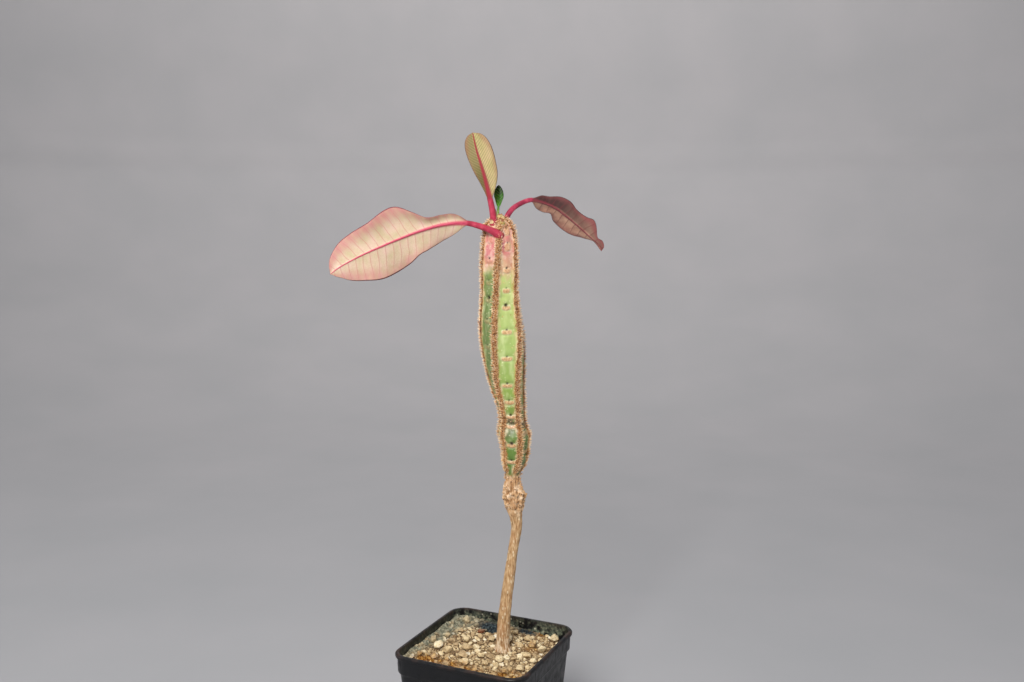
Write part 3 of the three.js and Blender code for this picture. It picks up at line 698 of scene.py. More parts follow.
def leaf_finish(name, under, over, shade, edge, stalk, vein, rib, lines, gloss=(0.42, 0.56)):
    """A leaf's skin. `under` and `over` are the two faces' colour stops by cloud; `shade` is painted shade
    on the half that turns from the light, stronger near the stalk (its side, colour, where it starts
    and ends across, how strong); `edge` is the margin's tint (colour, where it starts across, how
    strong) and its thin line; `stalk` the stalk's stops; `vein` and `rib` the side veins' and midrib's
    colour and strength."""
    material, desk, shader = new_finish(name, Specular_IOR_Level=0.4)
    spot = desk.spot()
    across = desk.sum("ABSOLUTE", desk.mark("across"))
    along = desk.mark("along")
    below = desk.mark("below")
    tissue = desk.blend(
        below,
        desk.ramp(desk.cloud(spot, 5.0, 4.0), over),
        desk.ramp(desk.cloud(spot, 7.0, 4.0), under),
    )
    # Painted shade: the half of the blade that turns from the light is darkened, most towards the stalk.
    side, shade_colour, shade_from, shade_to, shade_strength = shade
    sided = desk.times(desk.mark("across"), side)
    stalkward = desk.span(along, 0.05, 0.8, 1.3, 0.75)
    half_shade = desk.times(desk.span(sided, shade_from, shade_to, 0.0, shade_strength), stalkward)
    dusky = desk.blend(half_shade, tissue, shade_colour)
    net = desk.span(desk.cells(spot, 1.7, "Distance", "DISTANCE_TO_EDGE"), 0.0, 0.09, 1.0, 0.0)
    netted = desk.blend(desk.times(net, 0.14), dusky, vein[0])

    edge_colour, edge_start, edge_strength, line_colour = edge
    blush_at = desk.sum("ADD", across, desk.span(desk.cloud(spot, 8.0, 3.0), 0.3, 0.7, -0.07, 0.07))
    tipward = desk.span(along, 0.55, 1.0, 0.0, 0.3)
    blush = desk.span(desk.sum("ADD", blush_at, tipward), edge_start, 1.02, 0.0, edge_strength)
    ripened = desk.times(blush, desk.span(along, 0.05, 0.5, 0.35, 1.0))
    blushed = desk.blend(ripened, netted, edge_colour)

    phase = desk.comb("phase")
    thin_end = desk.span(across, 0.2, 1.0, 1.0, 0.45)
    width = desk.times(thin_end, lines["width"])
    core = desk.sum("LESS_THAN", phase, width)
    soft = desk.span(phase, 0.0, desk.times(width, 2.6), 1.0, 0.0)
    drawn = desk.times(desk.sum("MAXIMUM", desk.times(core, 0.55), soft), vein[1])
    on_blade = desk.times(drawn, desk.span(along, -0.01, 0.04))
    fading = desk.times(on_blade, desk.span(across, 0.86, 1.0, 1.0, 0.25))
    faced = desk.times(fading, desk.span(below, 0.0, 1.0, 0.55, 1.0))
    veined = desk.blend(faced, blushed, vein[0])
    halo = desk.span(phase, lines["halo"], 0.5, 0.0, lines["halo_strength"])
    striped = desk.blend(desk.times(halo, desk.span(along, 0.0, 0.05)), veined, lines["between"])

    ribbed = desk.blend(desk.times(desk.mark("rib"), rib[1]), striped, rib[0])
    stalk_tone = desk.ramp(desk.cloud(desk.spot(), 4.0, 3.0), stalk)
    on_stalk = desk.span(along, -0.03, 0.004, 1.0, 0.0)
    stalked = desk.blend(on_stalk, ribbed, stalk_tone)
    lined = desk.blend(desk.span(across, 0.955, 0.985), stalked, line_colour)
    on_margin = desk.times(desk.span(across, 0.95, 0.985), desk.span(along, 0.0, 0.05))
    colour = desk.blend(on_margin, stalked, lined)
    rough = desk.span(desk.cloud(spot, 2.5, 4.0), 0.3, 0.7, *gloss)
    relief = desk.sum("MULTIPLY_ADD", soft, 0.5, desk.times(net, 0.25))
    grain = desk.sum("MULTIPLY_ADD", desk.grain(spot, 0.6), 0.3, relief)
    feed(desk, shader, colour, rough, grain, 0.1)
    return material


CRIMSON = [(0.3, 152, 34, 56), (0.55, 178, 50, 76), (0.75, 200, 78, 98)]
GREEN_FACE = [(0.3, 74, 104, 44), (0.55, 104, 134, 60), (0.75, 140, 156, 84)]


def pale_leaf():
    return leaf_finish(
        "leaf_pale",
        under=[(0.3, 202, 184, 148), (0.5, 214, 190, 162), (0.72, 224, 194, 176)],
        over=GREEN_FACE,
        shade=(1, paint(124, 98, 78), 0.15, 0.95, 0.7),
        edge=(paint(200, 124, 124), 0.5, 0.6, paint(138, 66, 74)),
        stalk=CRIMSON,
        vein=(paint(190, 84, 100), 0.5),
        rib=(paint(196, 56, 92), 0.95),
        lines={"width": 0.03, "halo": 0.2, "halo_strength": 0.16, "between": paint(196, 188, 140)},
    )


def striped_leaf():
    return leaf_finish(
        "leaf_striped",
        under=[(0.3, 176, 164, 106), (0.5, 194, 174, 124), (0.72, 204, 176, 136)],
        over=GREEN_FACE,
        shade=(-1, paint(104, 90, 48), -0.05, 0.25, 0.85),
        edge=(paint(156, 104, 84), 0.66, 0.6, paint(88, 48, 46)),
        stalk=CRIMSON,
        vein=(paint(112, 112, 56), 0.65),
        rib=(paint(160, 34, 58), 0.95),
        lines={"width": 0.09, "halo": 0.3, "halo_strength": 0.2, "between": paint(204, 184, 136)},
    )


def dusky_leaf():
    return leaf_finish(
        "leaf_dusky",
        under=[(0.3, 178, 128, 108), (0.5, 204, 156, 132), (0.72, 222, 178, 150)],
        over=[(0.3, 64, 66, 40), (0.55, 92, 86, 54), (0.75, 120, 96, 70)],
        shade=(-1, paint(70, 42, 40), -0.05, 0.2, 0.88),
        edge=(paint(142, 72, 74), 0.5, 0.75, paint(74, 52, 54)),
        stalk=[(0.3, 126, 26, 52), (0.55, 172, 48, 78), (0.75, 200, 84, 104)],
        vein=(paint(112, 48, 50), 0.5),
        rib=(paint(128, 44, 58), 0.9),
        lines={"width": 0.045, "halo": 0.3, "halo_strength": 0.03, "between": paint(196, 150, 124)},
    )


def young_leaf_skin():
    """Glossy dark green, near black at the tip and pale green at its base."""
    material, desk, shader = new_finish("leaf_young", Specular_IOR_Level=0.6)
    spot = desk.spot()
    along = desk.mark("along")
    wander = desk.span(desk.cloud(spot, 3.0, 3.0), 0.3, 0.7, -0.12, 0.12)
    base = desk.ramp(
        desk.sum("MULTIPLY_ADD", desk.sum("ADD", along, wander), 0.5, 0.5),
        [
            (0.0, 226, 214, 160), (0.25, 158, 186, 70), (0.5, 82, 148, 34), (0.7, 60, 122, 24),
            (0.86, 30, 62, 14), (1.0, 18, 26, 10),
        ],
    )
    phase = desk.comb("phase")
    veins = desk.span(phase, 0.02, 0.2, 0.4, 0.0)
    colour = desk.blend(veins, base, paint(136, 178, 70))
    height = desk.sum("SUBTRACT", desk.grain(spot, 0.6), veins)
    feed(desk, shader, colour, desk.span(desk.cloud(spot, 2.0), 0.3, 0.7, 0.2, 0.34), height, 0.05)
    return material


def tip_flesh():
    """The growing tip's scales: cream and pale green, with browned points."""
    material, desk, shader = new_finish("tip_flesh", Specular_IOR_Level=0.4)
    spot = desk.spot()
    tone = desk.sum("MULTIPLY_ADD", desk.cloud(spot, 2.4, 4.0), 0.5, desk.mark("tone"))
    base = desk.ramp(
        tone,
        [(0.25, 120, 132, 48), (0.6, 190, 178, 100), (1.0, 236, 216, 170)],
    )
    browned = desk.blend(desk.span(desk.mark("tip"), 0.5, 1.0), base, paint(134, 66, 44))
    feed(desk, shader, browned, desk.span(desk.cloud(spot, 1.4), 0.3, 0.7, 0.4, 0.6),
         desk.grain(spot, 0.7), 0.1)
    return material


# ---- Pot --------------------------------------------------------------------------------------

LIP_BOTTOM = POT_HEIGHT - LIP_DEPTH
SHOULDER_TOP = POT_HEIGHT - COLLAR_DEPTH
SHOULDER_BOTTOM = SHOULDER_TOP - SHOULDER_DEPTH
FLOOR_TOP = FLOOR_CLEARANCE + FLOOR_THICKNESS
COLLAR_HALF = LIP_HALF - LIP_OVERHANG
SHOULDER_HALF = COLLAR_HALF - (LIP_BOTTOM - SHOULDER_TOP) * math.tan(COLLAR_TAPER)
WALL_TOP_HALF = SHOULDER_HALF - SHOULDER_STEP
WALL_FOOT_HALF = WALL_TOP_HALF - SHOULDER_BOTTOM * math.tan(POT_TAPER)


def wall_half(z):
    """Half the width over the outside of the pot's wall, without its lip."""
    levels = [0, SHOULDER_BOTTOM, SHOULDER_TOP, LIP_BOTTOM]
    return np.interp(z, levels, [WALL_FOOT_HALF, WALL_TOP_HALF, SHOULDER_HALF, COLLAR_HALF])


def wall_corner(z):
    """Corner radius of the wall's outside, which stays the same below the shoulder."""
    return POT_CORNER - (LIP_HALF - np.maximum(wall_half(z), WALL_TOP_HALF))


def rounded_square(turn, half, corner):
    """Points of a square with round corners, by their share round, straight sides and all."""
    quarter = np.floor(turn * 4 % 4)
    share = turn * 4 % 1
    straight = half - corner
    on_arc = np.clip((share - 0.25) * 2, 0, 1) * math.pi / 2
    rising = straight * np.clip(share * 4, 0, 1)
    falling = straight * np.clip((share - 0.75) * 4, 0, 1)
    x = straight + corner * np.cos(on_arc) - falling
    y = rising + corner * np.sin(on_arc)
    spin = quarter * math.pi / 2
    return x * np.cos(spin) - y * np.sin(spin), x * np.sin(spin) + y * np.cos(spin)


def pot_outline():
    """Half width, corner radius and height of each ring, from the underside's middle round to
    the middle of the floor's top, with the mark of the lip and of the limed wall inside."""
    bare = [0, 0]
    outside = [[wall_half(z), wall_corner(z), z] for z in (0, SHOULDER_BOTTOM, SHOULDER_TOP)]
    under_lip = [wall_half(LIP_BOTTOM), wall_corner(LIP_BOTTOM), LIP_BOTTOM]
    inside = [
        [wall_half(z) - POT_WALL, wall_corner(z) - POT_WALL, z]
        for z in (POT_HEIGHT, MIX_LEVEL + 4, MIX_LEVEL, SHOULDER_TOP, SHOULDER_BOTTOM, FLOOR_TOP)
    ]
    skirt = [wall_half(0) - POT_WALL, wall_corner(0) - POT_WALL]
    lip = [
        [LIP_HALF, POT_CORNER, LIP_BOTTOM],
        [LIP_HALF, POT_CORNER, POT_HEIGHT - LIP_ROUND],
        [LIP_HALF - LIP_ROUND, POT_CORNER - LIP_ROUND, POT_HEIGHT],
    ]
    rings = [[0, 0, FLOOR_CLEARANCE, *bare]]
    rings += [[*skirt, FLOOR_CLEARANCE, *bare], [*skirt, 0, *bare]]
    rings += [[*ring, *bare] for ring in [*outside, under_lip]]
    rings += [[*ring, lipped, 0] for ring, lipped in zip(lip, (0, 0.7, 1))]
    rings += [[*ring, lipped, limed] for ring, lipped, limed in zip(
        inside, (1, 0, 0, 0, 0, 0), (0.15, 0.6, 1, 0.4, 0, 0))]
    rings += [[0, 0, FLOOR_TOP, *bare]]
    return np.array(rings)


def pot_tool(name, shape):
    """A hidden solid that cuts the pot or is joined to it."""
    mesh = bpy.data.meshes.new(name)
    shape.to_mesh(mesh)
    shape.free()
    tool = bpy.data.objects.new(name, mesh)
    bpy.context.scene.collection.objects.link(tool)
    return tool


def drain_tool():
    """The drain holes' cylinders and the skirt's four notches, as one cutter."""
    shape = bmesh.new()
    for i in range(DRAIN_COUNT):
        turn = Matrix.Rotation((i + 0.5) * FULL_TURN / DRAIN_COUNT, 4, "Z")
        place = turn @ Matrix.Translation((DRAIN_CIRCLE / 2, 0, FLOOR_TOP))
        bmesh.ops.create_cone(
            shape, cap_ends=True, segments=32, radius1=DRAIN_DIAMETER / 2,
            radius2=DRAIN_DIAMETER / 2, depth=FLOOR_TOP * 1.6, matrix=place,
        )
    for i in range(4):
        size = Matrix.Diagonal((POT_WALL * 4, NOTCH_WIDTH, NOTCH_HEIGHT * 2, 1))
        turn = Matrix.Rotation(i * FULL_TURN / 4, 4, "Z")
        place = turn @ Matrix.Translation((WALL_FOOT_HALF, 0, 0)) @ size
        bmesh.ops.create_cube(shape, size=1, matrix=place)
    shape.transform(TO_FRAME)
    return pot_tool("drain_tool", shape)


def foot_tool():
    """The flat pad in the middle of the underside."""
    shape = bmesh.new()
    height = FLOOR_CLEARANCE + FLOOR_THICKNESS / 2
    bmesh.ops.create_cone(
        shape, cap_ends=True, segments=48, radius1=FOOT_DIAMETER / 2, radius2=FOOT_DIAMETER / 2,
        depth=height, matrix=Matrix.Translation((0, 0, height / 2)),
    )
    shape.transform(TO_FRAME)
    return pot_tool("foot_tool", shape)


def make_pot():
    """One moulding: skirt, leaning walls, shoulder, collar and lip, with its edges rounded."""
    outline = pot_outline()
    last = len(outline) - 1

    def place(turns, shares):
        ring = np.rint(shares * last).astype(int)
        half, corner, z, lipped, limed = outline[ring].T
        x, y = rounded_square(turns, half, corner)
        bulge = 0.35 * eased(z, 20, 60) * (half > 0)
        reach = np.maximum(np.abs(x), np.abs(y)) + 1e-9
        slack = 1 - (np.minimum(np.abs(x), np.abs(y)) / reach) ** 2
        grown = 1 + bulge * slack / reach
        limed = limed * np.maximum(eased(y, 15, 42), 0.4 * eased(-x, 30, 42))
        return np.stack([x * grown, y * grown, z], 1), {"lip": lipped, "limed": limed}

    shape = rolled_skin(96, last, place)
    rounded = [
        edge for edge in shape.edges
        if edge.is_manifold and edge.calc_face_angle(0) > math.radians(20)
    ]
    bmesh.ops.bevel(
        shape, geom=rounded, offset=0.28, segments=3, profile=0.5, affect="EDGES",
        material=-1, clamp_overlap=True,
    )
    pot = add_piece("nursery_pot", shape, TO_FRAME, pot_plastic(), ["pot"])
    for operation, tool in (("UNION", foot_tool()), ("DIFFERENCE", drain_tool())):
        cut = pot.modifiers.new(operation.lower(), "BOOLEAN")
        cut.operation = operation
        cut.solver = "EXACT"
        cut.object = tool
        bpy.context.view_layer.update()
        evaluated = pot.evaluated_get(bpy.context.evaluated_depsgraph_get())
        carved = bpy.data.meshes.new_from_object(evaluated)
        pot.modifiers.clear()
        pot.data = carved
        bpy.data.objects.remove(tool)
    pot.data.set_sharp_from_angle(angle=math.radians(30))


# ---- Potting mix and what lies on it ------------------------------------------------------------

MIX_HALF = float(wall_half(MIX_LEVEL)) - POT_WALL - MIX_GAP
HOLLOW = (-12.6, MIX_HALF - HOLLOW_INSET)
CHIP_PLACE = ((chip_low.x + chip_high.x) / 2, (chip_low.y + chip_high.y) / 2)


def bump_at(x, y, middle, radius, narrow=1.0):
    return np.exp(-((x - middle[0]) ** 2 + ((y - middle[1]) / narrow) ** 2) / radius**2)


def mix_height(x, y):
    """The mix's surface: a gentle ripple, a hollow behind the stem and a settled corner."""
    waves = np.sin(x * 0.23 + 0.7) * np.cos(y * 0.19) + np.sin(y * 0.31 + x * 0.11)
    corner = (MIX_HALF - CORNER_DIP_INSET, MIX_HALF - CORNER_DIP_INSET)
    hollow = HOLLOW_DEPTH * bump_at(x, y, HOLLOW, HOLLOW_RADIUS)
    hollow = hollow + CORNER_DIP * bump_at(x, y, corner, CORNER_DIP_RADIUS)
    return MIX_LEVEL - MIX_TILT * x + MIX_RIPPLE * waves - hollow


def mix_surface(x, y):
    """The mix's surface with the crumbs that have banked up against the left and back walls."""
    reach = np.maximum(np.abs(x), np.abs(y)) / MIX_HALF
    far = np.maximum(eased(-x, 24, 40), eased(y - 0.4 * x, 34, 50))
    return mix_height(x, y) + 1.7 * eased(reach, 0.8, 1.0) * far


def stains_and_shade(x, y):
    """How strongly each place is marked: grey-green crust and rust left by the damp, and painted shade over
    the grains in the hollow behind the stem and by the back wall.
    """
    x = np.asarray(x, float)
    y = np.asarray(y, float)
    spots = np.stack([x, y, 0 * x], 1)
    wander = 5 * lumps(spots, 9, 3.1)
    left = eased(-x + wander + 0.16 * y, 29, 34)
    back = eased(y + wander - 0.2 * x, 36, 41)
    crust = np.maximum(left, 0.9 * back)
    broken = eased(lumps(spots, 5, 8.7), -0.35, 0.15)
    rust = np.maximum.reduce([
        1.2 * bump_at(x, y, (-8, -33), 17, 0.5),
        0.7 * bump_at(x, y, (-25, -29), 12, 0.7),
        1.1 * bump_at(x, y, (28, -28), 8, 1.1),
        0.6 * bump_at(x, y, (12, -38), 8, 0.5),
        0.6 * bump_at(x, y, (20, 40), 5),
        0.45 * bump_at(x, y, (25, 17), 6),
    ])
    # Painted shade in the hollow behind the stem and at a spot by the back wall.
    shade = np.maximum(
        1.3 * bump_at(x, y, (-14.5, 36), 9.5, 0.85), 1.1 * bump_at(x, y, (11, 39), 9, 0.36)
    )
    return {
        "crust": np.clip(crust, 0, 1) * (0.45 + 0.55 * broken) * (1 - np.clip(shade, 0, 1)),
        "rust": np.clip(rust * 2.1 - 0.1, 0, 1) * (0.4 + 0.6 * broken),
        "shade": np.clip(shade * 1.25 - 0.15, 0, 1),
    }


def make_mix():
    """The filled pot's mix: a crumbly top over plain sides and bottom, one closed body."""
    shape = bmesh.new()
    bmesh.ops.create_grid(shape, x_segments=170, y_segments=170, size=1)
    flat = np.array([vert.co.xy for vert in shape.verts])
    corner = float(wall_corner(MIX_LEVEL)) - POT_WALL
    x, y = into_rounded_square(flat, MIX_HALF, corner)
    # The crust and rust marks, with the painted shade of the hollow.
    damp = stains_and_shade(x, y)
    spots = np.stack([x, y, 0 * x], 1)
    crumbs = 0.42 * lumps(spots, 1.5, 1.3) + 0.2 * lumps(spots, 0.7, 5.2)
    smoothed = 1 - 0.6 * damp["crust"]
    z = mix_surface(x, y) + 0.25 + crumbs * smoothed
    for vert, point in zip(shape.verts, np.stack([x, y, z], 1).tolist()):
        vert.co = point
    put_marks(shape, damp)
    rim_half = MIX_HALF
    for level in (SHOULDER_TOP, SHOULDER_BOTTOM, 36, FLOOR_TOP + 0.3):
        half = float(wall_half(level)) - POT_WALL - MIX_GAP
        rim = [edge for edge in shape.edges if edge.is_boundary]
        grown = bmesh.ops.extrude_edge_only(shape, edges=rim)["geom"]
        for vert in (item for item in grown if isinstance(item, bmesh.types.BMVert)):
            vert.co.x *= half / rim_half
            vert.co.y *= half / rim_half
            vert.co.z = level
        rim_half = half
    bmesh.ops.holes_fill(shape, edges=[edge for edge in shape.edges if edge.is_boundary], sides=0)
    bmesh.ops.recalc_face_normals(shape, faces=shape.faces)
    add_piece("gritty_mix", shape, TO_FRAME, potting_mix(), ["potting_mix"])


def into_rounded_square(flat, half, corner):
    """Moves points of a square from -1 to 1 into a square with round corners."""
    ring = np.maximum(np.abs(flat[:, 0]), np.abs(flat[:, 1])) + 1e-9
    onto = flat / ring[:, None]
    angle = np.abs(np.arctan2(onto[:, 1], onto[:, 0])) % (math.pi / 2)
    turned = np.minimum(angle, math.pi / 2 - angle)
    straight = half / np.cos(turned)
    middle = math.hypot(half - corner, half - corner)
    apart = math.pi / 4 - turned
    arc = middle * np.cos(apart) + np.sqrt(np.maximum(corner**2 - (middle * np.sin(apart)) ** 2, 0))
    reach = np.where(straight * np.sin(turned) <= half - corner, straight, arc)
    outward = unit(onto) * (ring * reach)[:, None]
    return outward[:, 0], outward[:, 1]


def stone_box(name):
    """Middle and half sizes of a stone of the frame, in millimetres."""
    low, high = (np.array(corner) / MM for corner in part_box(name))
    return (low + high) / 2, (high - low) / 2


def flattened(ball, rng, count):
    """A round shape's points with `count` flat faces broken off it."""
    for facing, depth in zip(unit(rng.normal(0, 1, (count, 3))), rng.uniform(0.5, 0.86, count)):
        beyond = np.maximum(ball @ facing - depth, 0)
        ball = ball - beyond[:, None] * facing
    return ball


def make_stones(material):
    """The larger stones, each in its own place: lumpy, pitted pumice."""
    for number, name in enumerate(grit_names):
        middle, half = stone_box(name)
        shape = bmesh.new()
        bmesh.ops.create_icosphere(shape, subdivisions=4, radius=1)
        ball = np.array([vert.co for vert in shape.verts])
        seed = number * 3.7
        broken = flattened(ball, np.random.default_rng(300 + number), 11)
        rough = 0.05 * lumps(broken, 0.35, seed, 3)
        pits = 0.05 * eased(lumps(broken, 0.16, seed + 5, 1), 0.1, 0.5)
        points = middle + broken * (1.06 + rough - pits)[:, None] * half
        for vert, point in zip(shape.verts, points.tolist()):
            vert.co = point
        tone = 0.34 + 0.54 * ((number * 0.618) % 1)
        marks = {key: value * 0.75 for key, value in stains_and_shade(points[:, 0], points[:, 1]).items()}
        put_marks(shape, {"tone": np.full(len(ball), tone), **marks})
        add_piece("stone_" + name[-2:], shape, TO_FRAME, material, [name],
                  sharp=math.radians(32))


def spread(count, spacing, taken, rng):
    """Places for grains, each at least `spacing` times its size from the others and the stem."""
    placed = [(*STEM_OFFSET, 9.4), (*CHIP_PLACE, 6.0), *taken]
    found = []
    for size, turn_x, turn_y in zip(*(rng.uniform(0, 1, count) for _ in range(3))):
        wide = mixed(*spacing, size**1.6)
        x, y = into_rounded_square(np.array([[turn_x * 2 - 1, turn_y * 2 - 1]]), MIX_HALF - wide / 2, 7)
        near = np.array(placed)
        gap = np.hypot(near[:, 0] - x[0], near[:, 1] - y[0]) - (near[:, 2] + wide) * 0.42
        if gap.min() > 0:
            placed.append((x[0], y[0], wide))
            found.append((x[0], y[0], wide))
    return found


def make_grains(name, places, fineness, material, rng, sunk):
    """Many loose grains in one piece, each turned, flattened and toned by itself."""
    tones = []

    def add_grain(shape, x, y, wide):
        height = wide * rng.uniform(0.45, 0.75)
        level = float(mix_surface(x, y)) + 0.25 + height * (0.5 - sunk)
        turn = Euler(rng.uniform((-0.5, -0.5, 0), (0.5, 0.5, FULL_TURN)).tolist()).to_matrix().to_4x4()
        size = Matrix.Diagonal((wide / 2, wide * rng.uniform(0.32, 0.48), height / 2, 1))
        grain = bmesh.ops.create_icosphere(shape, subdivisions=fineness, radius=1.05)["verts"]
        ball = np.array([vert.co for vert in grain])
        broken = flattened(ball, rng, 8) + rng.uniform(-0.07, 0.07, ball.shape)
        placing = Matrix.Translation((x, y, level)) @ turn @ size
        for vert, point in zip(grain, broken.tolist()):
            vert.co = placing @ Vector(point)
        tones.extend([rng.beta(2.0, 1.5)] * len(grain))

    shape = gathered([partial(add_grain, x=x, y=y, wide=wide) for x, y, wide in places])
    spots = np.array([vert.co for vert in shape.verts])
    put_marks(shape, {"tone": tones, **stains_and_shade(spots[:, 0], spots[:, 1])})
    bmesh.ops.recalc_face_normals(shape, faces=shape.faces)
    add_piece(name, shape, TO_FRAME, material, sharp=math.radians(28))


def make_grit():
    """All the grit on the mix: the stones, then coarse grains between them, then fine ones."""
    material = pumice()
    make_stones(material)
    rng = np.random.default_rng(41)
    stones = [(*middle[:2], 2 * max(half[:2])) for middle, half in map(stone_box, grit_names)]
    coarse = spread(2600, (2.4, 5.2), stones, rng)
    make_grains("coarse_grit", coarse, 2, material, rng, 0.3)
    fine = spread(6500, (0.9, 2.2), stones + coarse, rng)
    make_grains("fine_grit", fine, 1, material, rng, 0.22)


def make_chip():
    """The bark chip: a ragged flake with split ends and a curl."""
    middle = np.array((chip_low + chip_high) / 2)
    half = np.array((chip_high - chip_low) / 2)

    def place(turns, shares):
        angle = turns * FULL_TURN
        rim = np.clip(np.minimum(shares, 1 - shares) * 6, 0, 1) ** 0.5
        ragged = 1 + 0.12 * np.sin(angle * 5 + 1) + 0.08 * np.sin(angle * 11)
        x = rim * ragged * np.cos(angle)
        y = rim * ragged * np.sin(angle)
        z = mixed(-0.45, 0.45, eased(shares, 0.3, 0.7)) * rim + 0.5 * x * x - 0.2
        points = np.stack([x, y, z], 1)
        points[:, 2] += 0.12 * lumps(points * (3, 1, 1), 0.5, 2.0)
        return middle + points * half * 0.9, {}

    shape = rolled_skin(64, 40, place)
    add_piece("bark_flake", shape, TO_FRAME, brown_bark(), ["brown_chip"])


# ---- Stem ---------------------------------------------------------------------------------------

# Share of the stem's height (of the taproot's depth below 0), sideways lean in millimetres, and
# share of the greatest radius: a slim woody foot, a knobbly swelling above a kink, a short green
# bulge, a crease, and the ribbed body, thickest two thirds up.
STEM_PROFILE = [
    (-1, 2, 0.05),
    (-0.63, 1, 0.17),
    (-0.22, 0.2, 0.33),
    (0, 0, 0.32),
    (0.08, 1.1, 0.29),
    (0.166, 3.9, 0.26),
    (0.253, 7.2, 0.23),
    (0.296, 9, 0.25),
    (0.336, 7.8, 0.34),
    (0.372, 7.2, 0.43),
    (0.404, 6.4, 0.31),
    (0.422, 6.5, 0.35),
    (0.448, 7.4, 0.53),
    (0.487, 7.5, 0.64),
    (0.509, 6.9, 0.73),
    (0.542, 6.2, 0.58),
    (0.578, 5.2, 0.62),
    (0.621, 3.1, 0.77),
    (0.671, 1.8, 0.91),
    (0.722, 0.8, 1),
    (0.776, -0.4, 0.94),
    (0.823, -1, 0.83),
    (0.892, -1.5, 0.81),
    (0.953, -1.6, 0.73),
    (0.982, -2, 0.58),
    (1, -2.2, 0.2),
]
stem_lean = smoothly([(share, lean) for share, lean, _ in STEM_PROFILE])
stem_girth = smoothly([(share, girth) for share, _, girth in STEM_PROFILE])
stem_ribbing = smoothly([(0, 0), (0.34, 0), (0.4, 0.3), (0.47, 0.7), (0.6, 1), (1, 1)])

# Heights in millimetres of the leaf scars up the front panel. The other panels' scars are
# staggered between them, as leaves grow in a spiral.
scar_height = smoothly(list(enumerate(
    [115.8, 125, 135.8, 147.6, 153.6, 162.9, 173.6, 190.4, 206.8, 221.6, 232, 244.1, 258.5, 268, 276]
)))
SCAR_STEPS = 15
BUD_SIZES = [0.6, 0.8, 0.7, 0.5, 1.3, 0.8, 0.45]
# PANEL_SHADOW is the painted shade of each panel, by how far it faces away from the light: the left one
# darkest.
PANEL_SHADOW = [0, 0.35, 0.3, 0.25, 0.75]
PANEL_SCARS = [1, 0.7, 0.7, 0.7, 0.3]
CREASE_HEIGHT = 149.2
KNOB_HEIGHT = 103.5


def stem_axis(rise):
    rise = np.asarray(rise, float)
    depth = np.where(rise < 0, TAPROOT_DEPTH, STEM_HEIGHT)
    return np.stack([stem_lean(rise), 0 * rise, rise * depth], -1)


def stem_reach(rise, angle):
    """The stem's radius in millimetres, at an angle from its first ridge."""
    crest = np.abs(np.cos(STEM_RIDGES / 2 * angle)) ** RIDGE_SHARPNESS
    sink = 1 - stem_ribbing(rise) * PANEL_SINK * (1 - crest)
    return stem_girth(rise) * STEM_RADIUS * sink


def stem_way(rise, angle):
    """The level direction out of the stem, at an angle from its first ridge."""
    level = stem_axis(rise)[..., 2]
    heading = angle + RIDGE_START + (level - RIDGE_LEVEL) * STEM_TWIST - math.pi / 2
    return np.stack([np.cos(heading), np.sin(heading), 0 * heading], -1)


def stem_scars(turns, level, radius):
    """The relief and marks of the leaf scars, their pale rims and the buds above them."""
    relief = np.zeros_like(turns)
    marks = {name: np.zeros_like(turns) for name in ("scar", "halo", "bud")}
    for panel in range(STEM_RIDGES):
        middle = (panel + 0.5) / STEM_RIDGES
        sideways = (turns - middle) * FULL_TURN * radius
        panel_half = math.pi / STEM_RIDGES * radius
        near = np.abs(turns - middle) < 0.5 / STEM_RIDGES
        phase = (2 * panel % STEM_RIDGES) / STEM_RIDGES
        for step in range(SCAR_STEPS):
            height = float(scar_height(step - phase)) if step > phase else 0
            if height < 112:
                continue
            upward = level - height
            close = near & (np.abs(upward) < 12)
            share = np.interp(height, [120, 165, 200, 258], [0.62, 0.56, 0.44, 0.34])
            wide = np.clip(panel_half[close] * share, 1.8, 3.6)
            tall = np.interp(height, [120, 165, 250, 258], [1.0, 1.15, 1.3, 2.2])
            x = sideways[close] / wide
            z = upward[close] - 0.25 * x**2
            pad = eased(-(x**4 + (z / tall) ** 4), -1.25, -0.75)
            rim = eased(-(x**4 / 1.9 + (z / (tall + 0.6)) ** 4), -1.25, -0.75) - pad
            bud = BUD_SIZES[(step * 2 + panel * 3) % len(BUD_SIZES)]
            pit = np.exp(-((sideways[close] / bud) ** 2) - ((z - tall - 0.5) / (0.8 * bud)) ** 2)
            cushion = np.exp(-((x / 1.5) ** 2) - ((z - tall - 3.0) / 3.0) ** 2)
            fold = np.exp(-((z + tall + 0.5) / 0.7) ** 2) * np.exp(-((x / 1.7) ** 4))
            relief[close] += 0.4 * pad + 0.6 * cushion - 1.2 * bud * pit - 0.35 * fold
            marks["scar"][close] = np.maximum(marks["scar"][close], PANEL_SCARS[panel] * pad)
            marks["halo"][close] = np.maximum(marks["halo"][close], 0.4 * PANEL_SCARS[panel] * rim)
            marks["bud"][close] = np.maximum(marks["bud"][close], np.clip(1.6 * pit - 0.25, 0, 1))
    return relief, marks


